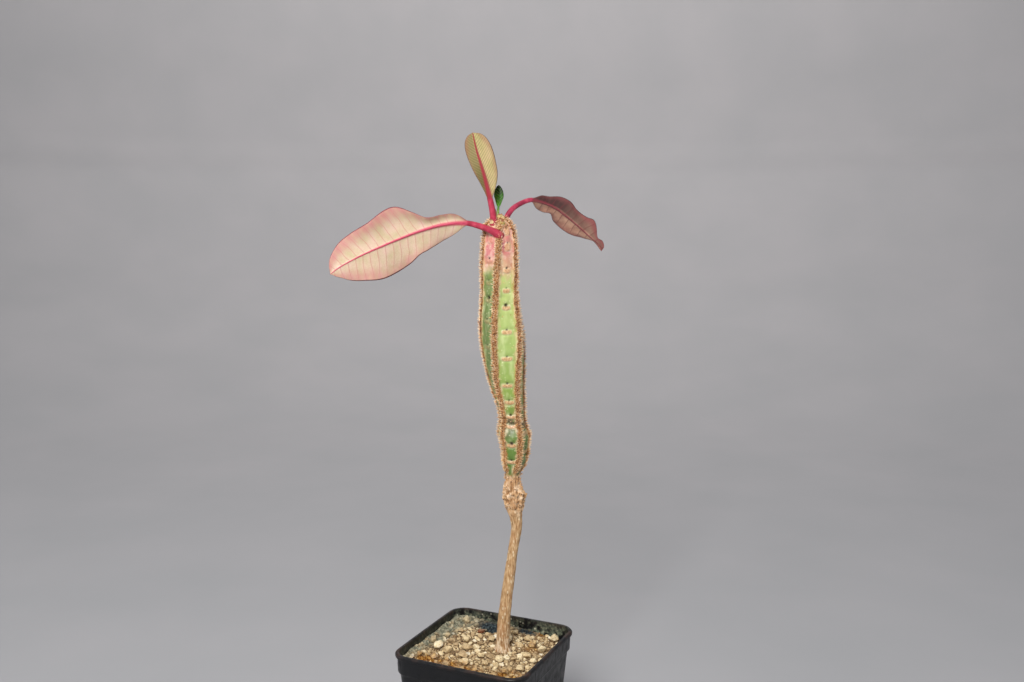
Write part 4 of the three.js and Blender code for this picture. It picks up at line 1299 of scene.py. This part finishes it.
def stem_place(turns, shares):
    """Every point of the stem's skin, from the taproot's tip up to the growing tip."""
    rise = np.interp(shares, [0, 0.05, 1], [-1, -0.03, 1])
    angle = turns * FULL_TURN
    axis = stem_axis(rise)
    level = axis[:, 2]
    way = stem_way(rise, angle)
    closing = np.clip((rise - 0.991) / 0.009, 0, 1)
    dome = np.sqrt(1 - closing**2) * np.clip((1 + rise) * 30, 0, 1)
    radius = stem_reach(rise, angle)
    smooth = axis + way * radius[:, None]

    across = np.abs(turns * STEM_RIDGES % 1 - 0.5) * 2
    ribbed = eased(level, 108, 120)
    band = (1 - across) * math.pi / STEM_RIDGES * radius
    wander = 0.8 * lumps(smooth, 2.6, 2.4)
    ridge = (1 - eased(band + wander, 1.2, 1.9)) * eased(level, 115, 119)
    wood = 1 - eased(level + 2 * lumps(smooth, 5, 7.7), 114.5, 117.5)
    relief, marks = stem_scars(turns, level, radius)
    relief *= ribbed

    streaked = lumps(smooth * (1, 1, 0.16), 1.1, 4.0, 3)
    woody = wood * eased(level, -4, 3)
    knobby = np.exp(-(((level - KNOB_HEIGHT) / 10) ** 2))
    knobs = lumps(smooth, 3.0, 11.0, 3) + 0.9 * np.cos(STEM_RIDGES * angle) ** 2 - 0.2
    creased = np.exp(-(((level - CREASE_HEIGHT - 2 * np.cos(angle)) / 2.1) ** 2))
    wrinkles = np.sin(level * 3.3 + 2.5 * lumps(smooth, 6, 9.0))
    flare = np.exp(-(((level - 0.6) / 2.4) ** 2)) * (1.0 + 0.4 * np.cos(angle * 9 + 0.6))
    rings = np.exp(-(((level - 88) / 1.6) ** 2)) + 0.6 * np.exp(-(((level - 62) / 1.2) ** 2))
    relief += 0.2 * streaked * woody + 1.9 * knobs * knobby - 0.25 * rings * wood
    relief += creased * (0.35 * wrinkles - 0.6) + flare
    relief += ridge * (0.15 + 0.3 * lumps(smooth, 0.9, 6.0)) + 0.25 * lumps(smooth, 5.5, 1.0) * ribbed
    points = axis + way * ((radius + relief) * dome)[:, None]
    marks.update({
        "rise": rise,
        "ridge": ridge,
        "wood": wood,
        "comb": level / 0.95 + 0.75 * band + 0.5 * lumps(smooth, 4.0, 8.0),
        "inner": np.clip(1 - (band + 1.1 * lumps(smooth, 3.2, 5.5) - 1.4) / 2.4, 0, 1),
        # The panel's painted shade, by how far it faces away from the light.
        "shadow": np.take(PANEL_SHADOW, (turns * STEM_RIDGES).astype(int) % STEM_RIDGES),
        "dry": np.clip(1.15 * creased - 0.1, 0, 1) * eased(lumps(smooth, 2.2, 3.3), -0.5, 0.1),
    })
    return points, marks


def tube(around, along, path, radius, lumpy):
    """A round, closed stretch along a path; radius() takes the share of its length."""
    def place(turns, shares):
        heading = path.heading(shares)
        side = unit(np.cross(heading, (0.13, 0.21, 1)))
        lift = np.cross(heading, side)
        ends = np.sqrt(np.clip(np.minimum(shares, 1 - shares) * along, 0, 1))
        angle = (turns * FULL_TURN)[:, None]
        reach = (radius(shares) * ends)[:, None]
        ring = side * np.cos(angle) + lift * np.sin(angle)
        points = path.at(shares) + ring * reach
        points = points + ring * (lumpy * lumps(points, 2.5) * ends)[:, None]
        return points, {"wood": np.ones_like(turns), "rise": np.full_like(turns, 0.1)}

    return rolled_skin(around, along, place)


ROOT_COUNT = 4
ROOT_RADIUS = 1.7
ROOT_TIP_RADIUS = 0.6
ROOT_REACH = 24.0
ROOT_DROP = 14


def make_roots(material):
    """The side roots, spread through the mix from the taproot, each with two finer rootlets."""
    rng = np.random.default_rng(17)
    shape = bmesh.new()
    steps = [(0, 0), (0.4, 0.15), (0.75, 0.5), (1, 1)]
    for i in range(ROOT_COUNT):
        start = stem_axis(-0.17 - 0.1 * i)
        heading = i / ROOT_COUNT * FULL_TURN + 0.5
        away = np.array([math.cos(heading), math.sin(heading), 0])
        points = [
            start + away * ROOT_REACH * out - np.array([0, 0, ROOT_DROP * down])
            for out, down in steps
        ]
        root = Path(points)
        stretches = [(root, ROOT_RADIUS, ROOT_TIP_RADIUS, 40)]
        for share in (0.45, 0.72):
            fork = root.at(share)
            aside = np.array([-away[1], away[0], 0]) * rng.choice((-1, 1))
            ends = [fork, fork + aside * 5 + away * 3 - (0, 0, 3), fork + aside * 8 + away * 5 - (0, 0, 9)]
            stretches.append((Path(ends), 0.7, 0.25, 20))
        for path, thick, thin, steps_along in stretches:
            part = tube(10, steps_along, path, lambda s, a=thick, b=thin: mixed(a, b, s), 0.2)
            mesh = bpy.data.meshes.new("root")
            part.to_mesh(mesh)
            part.free()
            shape.from_mesh(mesh)
            bpy.data.meshes.remove(mesh)
    add_piece("side_roots", shape, PLANT_TO_FRAME, material)


def make_stem():
    material = stem_skin()
    shape = rolled_skin(150, 600, stem_place)
    add_piece("ribbed_stem", shape, PLANT_TO_FRAME, material, ["stem"])
    make_roots(material)


def bristle_on_stem(level, angle, heading, length, thick, tone, lift=0.1):
    """A bristle that grows at a level and angle of the stem; `heading` is out, round and up."""
    rise = level / STEM_HEIGHT
    out = stem_way(rise, angle)
    sideways = np.array([-out[1], out[0], 0])
    place = stem_axis(rise) + out * (float(stem_reach(rise, angle)) + lift)
    way = out * heading[0] + sideways * heading[1] + np.array([0, 0, heading[2]])
    return {"place": place, "heading": way, "length": length, "thick": thick, "tone": tone}


def comb_bristles(rng):
    """The combs down both flanks of every ridge: rows of bristles that lie out and up."""
    bristles = []
    for ridge in range(STEM_RIDGES):
        crest = ridge / STEM_RIDGES * FULL_TURN
        level = 117.0
        while level < 274:
            level += rng.uniform(0.95, 1.2)
            radius = max(float(stem_reach(level / STEM_HEIGHT, crest)), 3.5)
            for side in (-1, 1):
                for row in range(3):
                    tone = rng.beta(0.9, 0.6)
                    aside = side * (0.1 + 0.56 * row + rng.uniform(-0.2, 0.2))
                    lean = math.radians(10 + 14 * row + rng.uniform(-13, 13))
                    heading = (math.cos(lean), side * math.sin(lean), rng.uniform(0.1, 0.6))
                    length = rng.uniform(1.5, 2.7)
                    bristles.append(bristle_on_stem(
                        level + 0.35 * row + rng.uniform(-0.15, 0.15), crest + aside / radius, heading,
                        length, rng.uniform(0.24, 0.38), tone, 0.0,
                    ))
    return bristles


def scattered_bristles(rng):
    """Old stubs on the swelling, whiskers on the panels' edges and a fringe round the tip."""
    bristles = []
    for _ in range(330):
        ridge = rng.integers(0, STEM_RIDGES) / STEM_RIDGES * FULL_TURN
        bristles.append(bristle_on_stem(
            rng.uniform(94, 117), ridge + rng.normal(0, 0.3), (1, *rng.normal(0, 0.6, 2)),
            rng.uniform(0.7, 1.7), rng.uniform(0.18, 0.3), rng.uniform(0, 0.7), 0.5,
        ))
    for _ in range(420):
        ridge = rng.integers(0, STEM_RIDGES) / STEM_RIDGES * FULL_TURN
        bristles.append(bristle_on_stem(
            rng.uniform(118, 272), ridge + rng.normal(0, 0.2), (1, *rng.normal(0, 0.8, 2)),
            rng.uniform(0.8, 1.6), rng.uniform(0.14, 0.22), rng.uniform(0.4, 1),
        ))
    for _ in range(260):
        heading = (rng.uniform(0.1, 0.9), rng.normal(0, 0.3), 1)
        bristles.append(bristle_on_stem(
            rng.uniform(269, 276), rng.uniform(0, FULL_TURN), heading,
            rng.uniform(1.2, 2.6), rng.uniform(0.16, 0.26), rng.uniform(0, 1),
        ))
    return bristles


def make_bristles():
    """Every bristle on the stem, in one piece."""
    rng = np.random.default_rng(5)
    marks = {"tip": [], "tone": []}

    def add_bristle(shape, place, heading, length, thick, tone):
        spike = bmesh.ops.create_cone(
            shape, cap_ends=True, segments=3, radius1=thick, radius2=thick * 0.45, depth=length
        )["verts"]
        marks["tip"].extend([float(vert.co.z > 0) for vert in spike])
        marks["tone"].extend([tone] * len(spike))
        bmesh.ops.transform(shape, matrix=pointing(place, heading, length), verts=spike)

    bristles = comb_bristles(rng) + scattered_bristles(rng)
    shape = gathered([partial(add_bristle, **bristle) for bristle in bristles])
    put_marks(shape, marks)
    bmesh.ops.recalc_face_normals(shape, faces=shape.faces)
    add_piece("ridge_bristles", shape, PLANT_TO_FRAME, bristle_horn())


def make_growing_tip():
    """The fleshy scales and stipules that crowd round the growing point."""
    rng = np.random.default_rng(23)
    shape = bmesh.new()
    layers = [shape.verts.layers.float.new(name) for name in ("tip", "tone")]
    middle = stem_axis(0.985)
    scales = [(i * 2.4, 1.3 + 0.36 * i, rng.uniform(2.2, 3.4), rng.uniform(1.2, 2.0)) for i in range(14)]
    scales += [(2.6, 1.6, 6.5, 1.2), (3.3, 3.4, 5.5, 1.3), (4.1, 6.4, 4.5, 2.2), (5.0, 6.8, 4.0, 2.2)]
    for turn, ring, length, width in scales:
        out = np.array([math.cos(turn), math.sin(turn), 0])
        place = middle + out * ring + np.array([0, 0, 3.6 - max(ring - 2.4, 0)])
        heading = out * (0.1 + 0.06 * ring) + np.array([0, 0, 1])
        tone = rng.uniform(0, 0.75)
        scale = bmesh.ops.create_uvsphere(
            shape, u_segments=20, v_segments=14, radius=1,
            matrix=Matrix.Diagonal((width, width * 0.55, length / 2, 1)),
        )["verts"]
        for vert in scale:
            up = vert.co.z / length + 0.5
            vert.co.x *= 1 - 0.5 * up
            vert[layers[0]] = up
            vert[layers[1]] = tone
        placing = pointing(place, heading, length * 0.6)
        facing = Matrix.Rotation(rng.uniform(-0.3, 0.3), 4, "Z")
        bmesh.ops.transform(shape, matrix=placing @ facing, verts=scale)
    bmesh.ops.recalc_face_normals(shape, faces=shape.faces)
    add_piece("growing_tip", shape, PLANT_TO_FRAME, tip_flesh())


# ---- Leaves -------------------------------------------------------------------------------------

# Each leaf starts inside the stem, `height` up it, and follows `midrib`, whose points are steps
# in millimetres from the stem's axis. `left` and `right` are the blade's halves as seen from above
# the leaf, looking to the tip: share of the blade's length and half width as a share of its width.
# `leftwards` points to the left half, at the stalk and at the tip. `veins` is how many side veins
# a half has, `slant` how far they lean forward, and `pucker` how much the blade swells between.
LEAVES = [
    {
        "name": "leaf_left",
        "height": 0.951,
        "reach": 106,
        "width": 38,
        "stalk": 0.235,
        "stalk_radius": (2.3, 1.6),
        "midrib": [
            (1.6, -3.8, 0), (-1.6, -9, 3.4), (-11.5, -11.2, 7.6), (-21.7, -13.7, 9.7),
            (-33.7, -16.7, 8.5), (-45.6, -19.6, 5.2), (-57.5, -22.6, 0.7), (-69.2, -25.6, -4.3),
            (-80.8, -28.5, -9.6), (-92.4, -31.5, -16), (-97.6, -32.8, -20),
        ],
        "left": [
            (0, 0.045), (0.08, 0.14), (0.16, 0.16), (0.27, 0.19), (0.34, 0.32), (0.42, 0.47),
            (0.5, 0.49), (0.64, 0.42), (0.76, 0.37), (0.87, 0.3), (0.94, 0.19), (0.98, 0.08),
            (1, 0.02),
        ],
        "right": [
            (0, 0.045), (0.07, 0.17), (0.17, 0.28), (0.3, 0.345), (0.38, 0.37), (0.46, 0.46),
            (0.56, 0.515), (0.68, 0.5), (0.8, 0.4), (0.9, 0.28), (0.96, 0.15), (1, 0.02),
        ],
        "leftwards": [(0.3, -0.2, 0.93), (0.4, 0.05, 0.9)],
        "fold": math.radians(6),
        "wave": 1.4,
        "waves": 2.5,
        "rib_taper": 0.6,
        "veins": 18,
        "slant": 0.25,
        "pucker": 0.16,
        "slot": "leaf",
        "finish": pale_leaf,
    },
    {
        "name": "leaf_top",
        "height": 0.962,
        "reach": 63,
        "width": 16,
        "stalk": 0.36,
        "stalk_radius": (2.2, 1.7),
        "midrib": [
            (-1.5, -3, 0), (-3.1, -4.3, 6.4), (-4.2, -6.7, 14.7), (-5.7, -8.7, 21.9),
            (-8, -11.4, 31.7), (-10.2, -13.7, 39.4), (-12.9, -16.2, 48.2), (-15, -18.9, 57.8),
        ],
        "left": [
            (0, 0.11), (0.1, 0.27), (0.2, 0.4), (0.33, 0.51), (0.5, 0.56), (0.66, 0.575),
            (0.8, 0.53), (0.91, 0.4), (0.97, 0.23), (1, 0.04),
        ],
        "right": [
            (0, 0.1), (0.1, 0.14), (0.23, 0.22), (0.43, 0.34), (0.66, 0.41), (0.82, 0.4),
            (0.92, 0.31), (0.98, 0.15), (1, 0.04),
        ],
        "leftwards": [(0.95, 0.1, 0.2), (0.9, -0.1, 0.28)],
        "fold": math.radians(10),
        "wave": 0.3,
        "waves": 2,
        "rib_taper": 0.75,
        "veins": 21,
        "slant": 0.9,
        "pucker": 0.12,
        "slot": "leaf",
        "finish": striped_leaf,
    },
    {
        "name": "leaf_right",
        "height": 0.964,
        "reach": 78,
        "width": 19,
        "stalk": 0.34,
        "stalk_radius": (1.9, 1.4),
        "midrib": [
            (1.4, 2.5, 0), (3, 4.6, 6.4), (7.5, 7.5, 14.2), (13.4, 11.4, 18.4),
            (19.5, 15.2, 20.6), (23.1, 17.5, 20.2), (28.7, 21, 18.6), (35.4, 25.1, 15.8),
            (43, 29.7, 10.4), (50.7, 34.3, 4.3), (58.6, 38.9, -2.5), (65.9, 43, -8.6),
            (67.2, 44, -12.4),
        ],
        "left": [
            (0, 0.06), (0.09, 0.25), (0.2, 0.33), (0.3, 0.27), (0.42, 0.45), (0.55, 0.5),
            (0.68, 0.42), (0.78, 0.24), (0.86, 0.08), (0.93, 0.09), (0.97, 0.07), (1, 0.02),
        ],
        "right": [
            (0, 0.06), (0.1, 0.2), (0.2, 0.24), (0.32, 0.42), (0.42, 0.45), (0.52, 0.36),
            (0.64, 0.38), (0.72, 0.47), (0.8, 0.34), (0.87, 0.13), (0.93, 0.15), (0.97, 0.1),
            (1, 0.02),
        ],
        "leftwards": [(-0.35, 0.1, -0.9), (-0.75, 0.3, -0.55)],
        "fold": math.radians(36),
        "wave": 1.1,
        "waves": 2.5,
        "rib_taper": 0.45,
        "veins": 11,
        "slant": 0.5,
        "pucker": 0.2,
        "slot": "leaf_dusky",
        "finish": dusky_leaf,
    },
    {
        "name": "young_leaf",
        "height": 0.972,
        "reach": 27,
        "width": 6.4,
        "stalk": 0.52,
        "stalk_radius": (0.9, 0.7),
        "midrib": [(-0.3, 1.5, 0), (-0.8, 2.2, 6), (-0.5, 3, 12), (0, 3.2, 18), (-0.2, 3, 24.8)],
        "left": [(0, 0.16), (0.25, 0.34), (0.5, 0.5), (0.75, 0.42), (0.92, 0.22), (1, 0.05)],
        "right": [(0, 0.16), (0.25, 0.34), (0.5, 0.5), (0.75, 0.42), (0.92, 0.22), (1, 0.05)],
        "leftwards": [(0.9, 0.2, 0), (0.9, 0.3, 0)],
        "fold": math.radians(20),
        "wave": 0,
        "waves": 1,
        "rib_taper": 0.5,
        "veins": 7,
        "slant": 0.8,
        "pucker": 0.05,
        "slot": "leaf_young",
        "finish": young_leaf_skin,
    },
]
LEAF_HALF_THICKNESS = 0.3


def leaf_path(leaf):
    """The leaf's midrib as a path, stretched so that it spans the leaf's reach."""
    steps = np.array(leaf["midrib"], float)
    stretch = leaf["reach"] / np.linalg.norm(steps[-1] - steps[0])
    return Path(stem_axis(leaf["height"]) + steps[0] + (steps - steps[0]) * stretch)


def leaf_placing(leaf):
    """How a leaf's grid of points becomes a round stalk that opens into a thin, veined blade."""
    midrib = leaf_path(leaf)
    left = smoothly(leaf["left"])
    right = smoothly(leaf["right"])
    at_stalk, at_tip = (np.array(way, float) for way in leaf["leftwards"])
    blade_length = midrib.length * (1 - leaf["stalk"])

    def place(turns, shares):
        stalk = leaf["stalk"]
        along = shares
        blade = np.clip((along - stalk) / (1 - stalk), 0, 1)
        on_stalk = np.clip(along / stalk, 0, 1)
        centre = midrib.at(along)
        forward = midrib.heading(along)
        across = mixed(at_stalk, at_tip, blade[:, None])
        across = unit(across - forward * np.sum(across * forward, 1, keepdims=True))
        up = np.cross(forward, across)

        angle = turns * FULL_TURN
        quarter = 1 - np.abs(np.abs(turns * 2 % 1) - 0.5) * 2
        outward = np.sign(np.cos(angle)) * (1 - quarter) ** 1.45
        flat = np.clip(blade * 6, 0, 1)
        reach = mixed(np.cos(angle), outward, flat)
        lobe = np.where(reach > 0, left(blade), right(blade)) * leaf["width"]
        from_root = along * midrib.length
        foot = 1 + 0.4 * np.exp(-(((from_root - 5.0) / 3.2) ** 2)) * (from_root > 1)
        stalk_radius = mixed(*leaf["stalk_radius"], on_stalk) * foot
        width = np.where(along < stalk, stalk_radius, lobe)
        sideways = reach * width

        side = np.sign(np.sin(angle)) * (np.abs(np.sin(angle)) > 1e-6)
        thin = LEAF_HALF_THICKNESS * np.sqrt(np.clip(1 - np.abs(reach) ** 5, 0, 1)) * mixed(1, 0.6, blade)
        rib_radius = mixed(leaf["stalk_radius"][1], 0.28, blade ** leaf["rib_taper"])
        rib = np.exp(-((sideways / rib_radius) ** 2)) * flat
        below = side < 0
        stalk_thick = np.abs(np.sin(angle)) * stalk_radius
        thick = mixed(stalk_thick, thin, flat) + rib * rib_radius * np.where(below, 0.85, -0.1)

        folded = np.abs(sideways) * math.tan(leaf["fold"])
        phase = blade * leaf["waves"] * FULL_TURN + np.sign(reach)
        calming = np.minimum(1, 4 * (1 - blade))
        waved = leaf["wave"] * reach**2 * np.sin(phase) * calming
        smooth = centre + across * sideways[:, None]
        crimped = 0.3 * eased(np.abs(reach), 0.6, 1) * lumps(smooth, 5.5, 4.4) * calming
        forwardness = blade * blade_length - leaf["slant"] * np.abs(sideways)
        bent = forwardness - 0.012 * leaf["slant"] * sideways**2
        spacing = blade_length / leaf["veins"]
        vein = bent / spacing + 0.28 * (reach > 0) + 0.14 * lumps(smooth, 9, 2.2)
        swell = leaf["pucker"] * (np.abs(np.cos(math.pi * vein)) ** 0.7 - 0.5)
        fading = np.clip(1.15 - np.abs(reach), 0, 1) * eased(np.abs(sideways), 0.3, 1.6)
        lift = flat * (folded + waved + crimped + swell * fading)
        ends = np.sqrt(np.clip(np.minimum(shares * 40, (1 - shares) * 60), 0, 1))
        points = centre + (across * sideways[:, None] + up * (side * thick + lift)[:, None]) * ends[:, None]
        marks = {
            "across": reach,
            "along": np.where(along < stalk, on_stalk - 1, blade),
            "below": below.astype(float),
            "rib": np.where(along < stalk, 1, np.exp(-((sideways / (rib_radius * 1.1)) ** 4))),
            "phase": vein + 20,
        }
        return points, marks

    return place


def make_leaves():
    for leaf in LEAVES:
        fine = 1 if leaf["width"] > 10 else 0.4
        shape = rolled_skin(round(112 * fine), round(260 * fine), leaf_placing(leaf))
        name = leaf["name"] + "_blade"
        add_piece(name, shape, PLANT_TO_FRAME, leaf["finish"](), [leaf["name"]])


# ---- Stage, light and camera --------------------------------------------------------------------


def make_stage():
    """A plain pale floor that curves up softly far from the pot."""
    shape = bmesh.new()
    profile = [(0.0, 0.0), (0.95, 0.0), (1.25, 0.03), (1.6, 0.16), (1.95, 0.45), (2.15, 0.95), (2.2, 1.7)]
    sweep = smoothly(profile)
    outs = np.concatenate([np.linspace(0, 0.95, 6), np.linspace(1.0, 2.2, 30)])
    verts = [shape.verts.new((out, 0, max(0.0, float(sweep(out))))) for out in outs]
    edges = [shape.edges.new(pair) for pair in zip(verts, verts[1:])]
    bmesh.ops.spin(
        shape, geom=verts + edges, cent=(0, 0, 0), axis=(0, 0, 1), angle=FULL_TURN, steps=96,
        use_merge=True,
    )
    bmesh.ops.remove_doubles(shape, verts=shape.verts, dist=1e-5)
    bmesh.ops.recalc_face_normals(shape, faces=shape.faces)
    bmesh.ops.reverse_faces(shape, faces=shape.faces)
    mesh = bpy.data.meshes.new("pale_floor")
    shape.to_mesh(mesh)
    shape.free()
    mesh.shade_smooth()
    material, desk, shader = new_finish("pale_cloth", Roughness=0.95, Specular_IOR_Level=0.1)
    tone = desk.cloud(desk.spot(), 160.0, 3.0)
    colour = desk.ramp(tone, [(0.3, 170, 171, 174), (0.7, 175, 175, 178)])
    desk.tree.links.new(colour, shader.inputs["Base Color"])
    mesh.materials.append(material)
    floor = bpy.data.objects.new("pale_floor", mesh)
    bpy.context.scene.collection.objects.link(floor)


def add_softbox(name, place, target, size, power, tint=(1, 1, 1)):
    """A soft rectangular light that looks at a point."""
    light = bpy.data.lights.new(name, "AREA")
    light.shape = "RECTANGLE"
    light.size, light.size_y = size
    light.energy = power
    light.color = tint
    softbox = bpy.data.objects.new(name, light)
    softbox.location = place
    softbox.rotation_euler = (Vector(target) - Vector(place)).to_track_quat("-Z", "Y").to_euler()
    bpy.context.scene.collection.objects.link(softbox)


def light_and_camera():
    """Soft studio light from the front and above, and the camera a little over the plant's middle."""
    middle = (0.01, 0.01, 0.24)
    add_softbox("key", (0.16, -0.76, 0.7), middle, (0.3, 0.3), 9.5, (1, 0.985, 0.96))
    add_softbox("left_fill", (-1.1, -0.45, 0.6), middle, (0.8, 0.8), 2.6, (1, 0.99, 0.97))
    add_softbox("right_fill", (1.15, 0.1, 0.6), middle, (0.7, 0.9), 2.4, (1, 0.99, 0.97))
    add_softbox("overhead", (0.0, 0.3, 1.5), middle, (1.2, 1.2), 3.4)
    add_softbox("backdrop_wash", (-0.4, 0.9, 1.7), (-0.95, 2.1, 0.5), (1.4, 0.6), 19, (1, 0.94, 0.9))
    world = bpy.data.worlds.new("studio")
    world.use_nodes = True
    background = world.node_tree.nodes["Background"]
    background.inputs["Color"].default_value = paint(206, 208, 214)
    background.inputs["Strength"].default_value = 0.32
    scene = bpy.context.scene
    scene.world = world
    scene.view_settings.view_transform = "Standard"
    lens = bpy.data.cameras.new("camera")
    lens.lens = 35.16
    lens.sensor_width = 36
    lens.clip_start = 0.02
    camera = bpy.data.objects.new("camera", lens)
    camera.location = (0.2731, -0.5513, 0.343)
    camera.rotation_euler = (math.radians(83.5), 0, PLANT_TURN)
    scene.collection.objects.link(camera)
    scene.camera = camera


make_stage()
light_and_camera()
make_pot()
make_mix()
make_grit()
make_chip()
make_stem()
make_bristles()
make_growing_tip()
make_leaves()
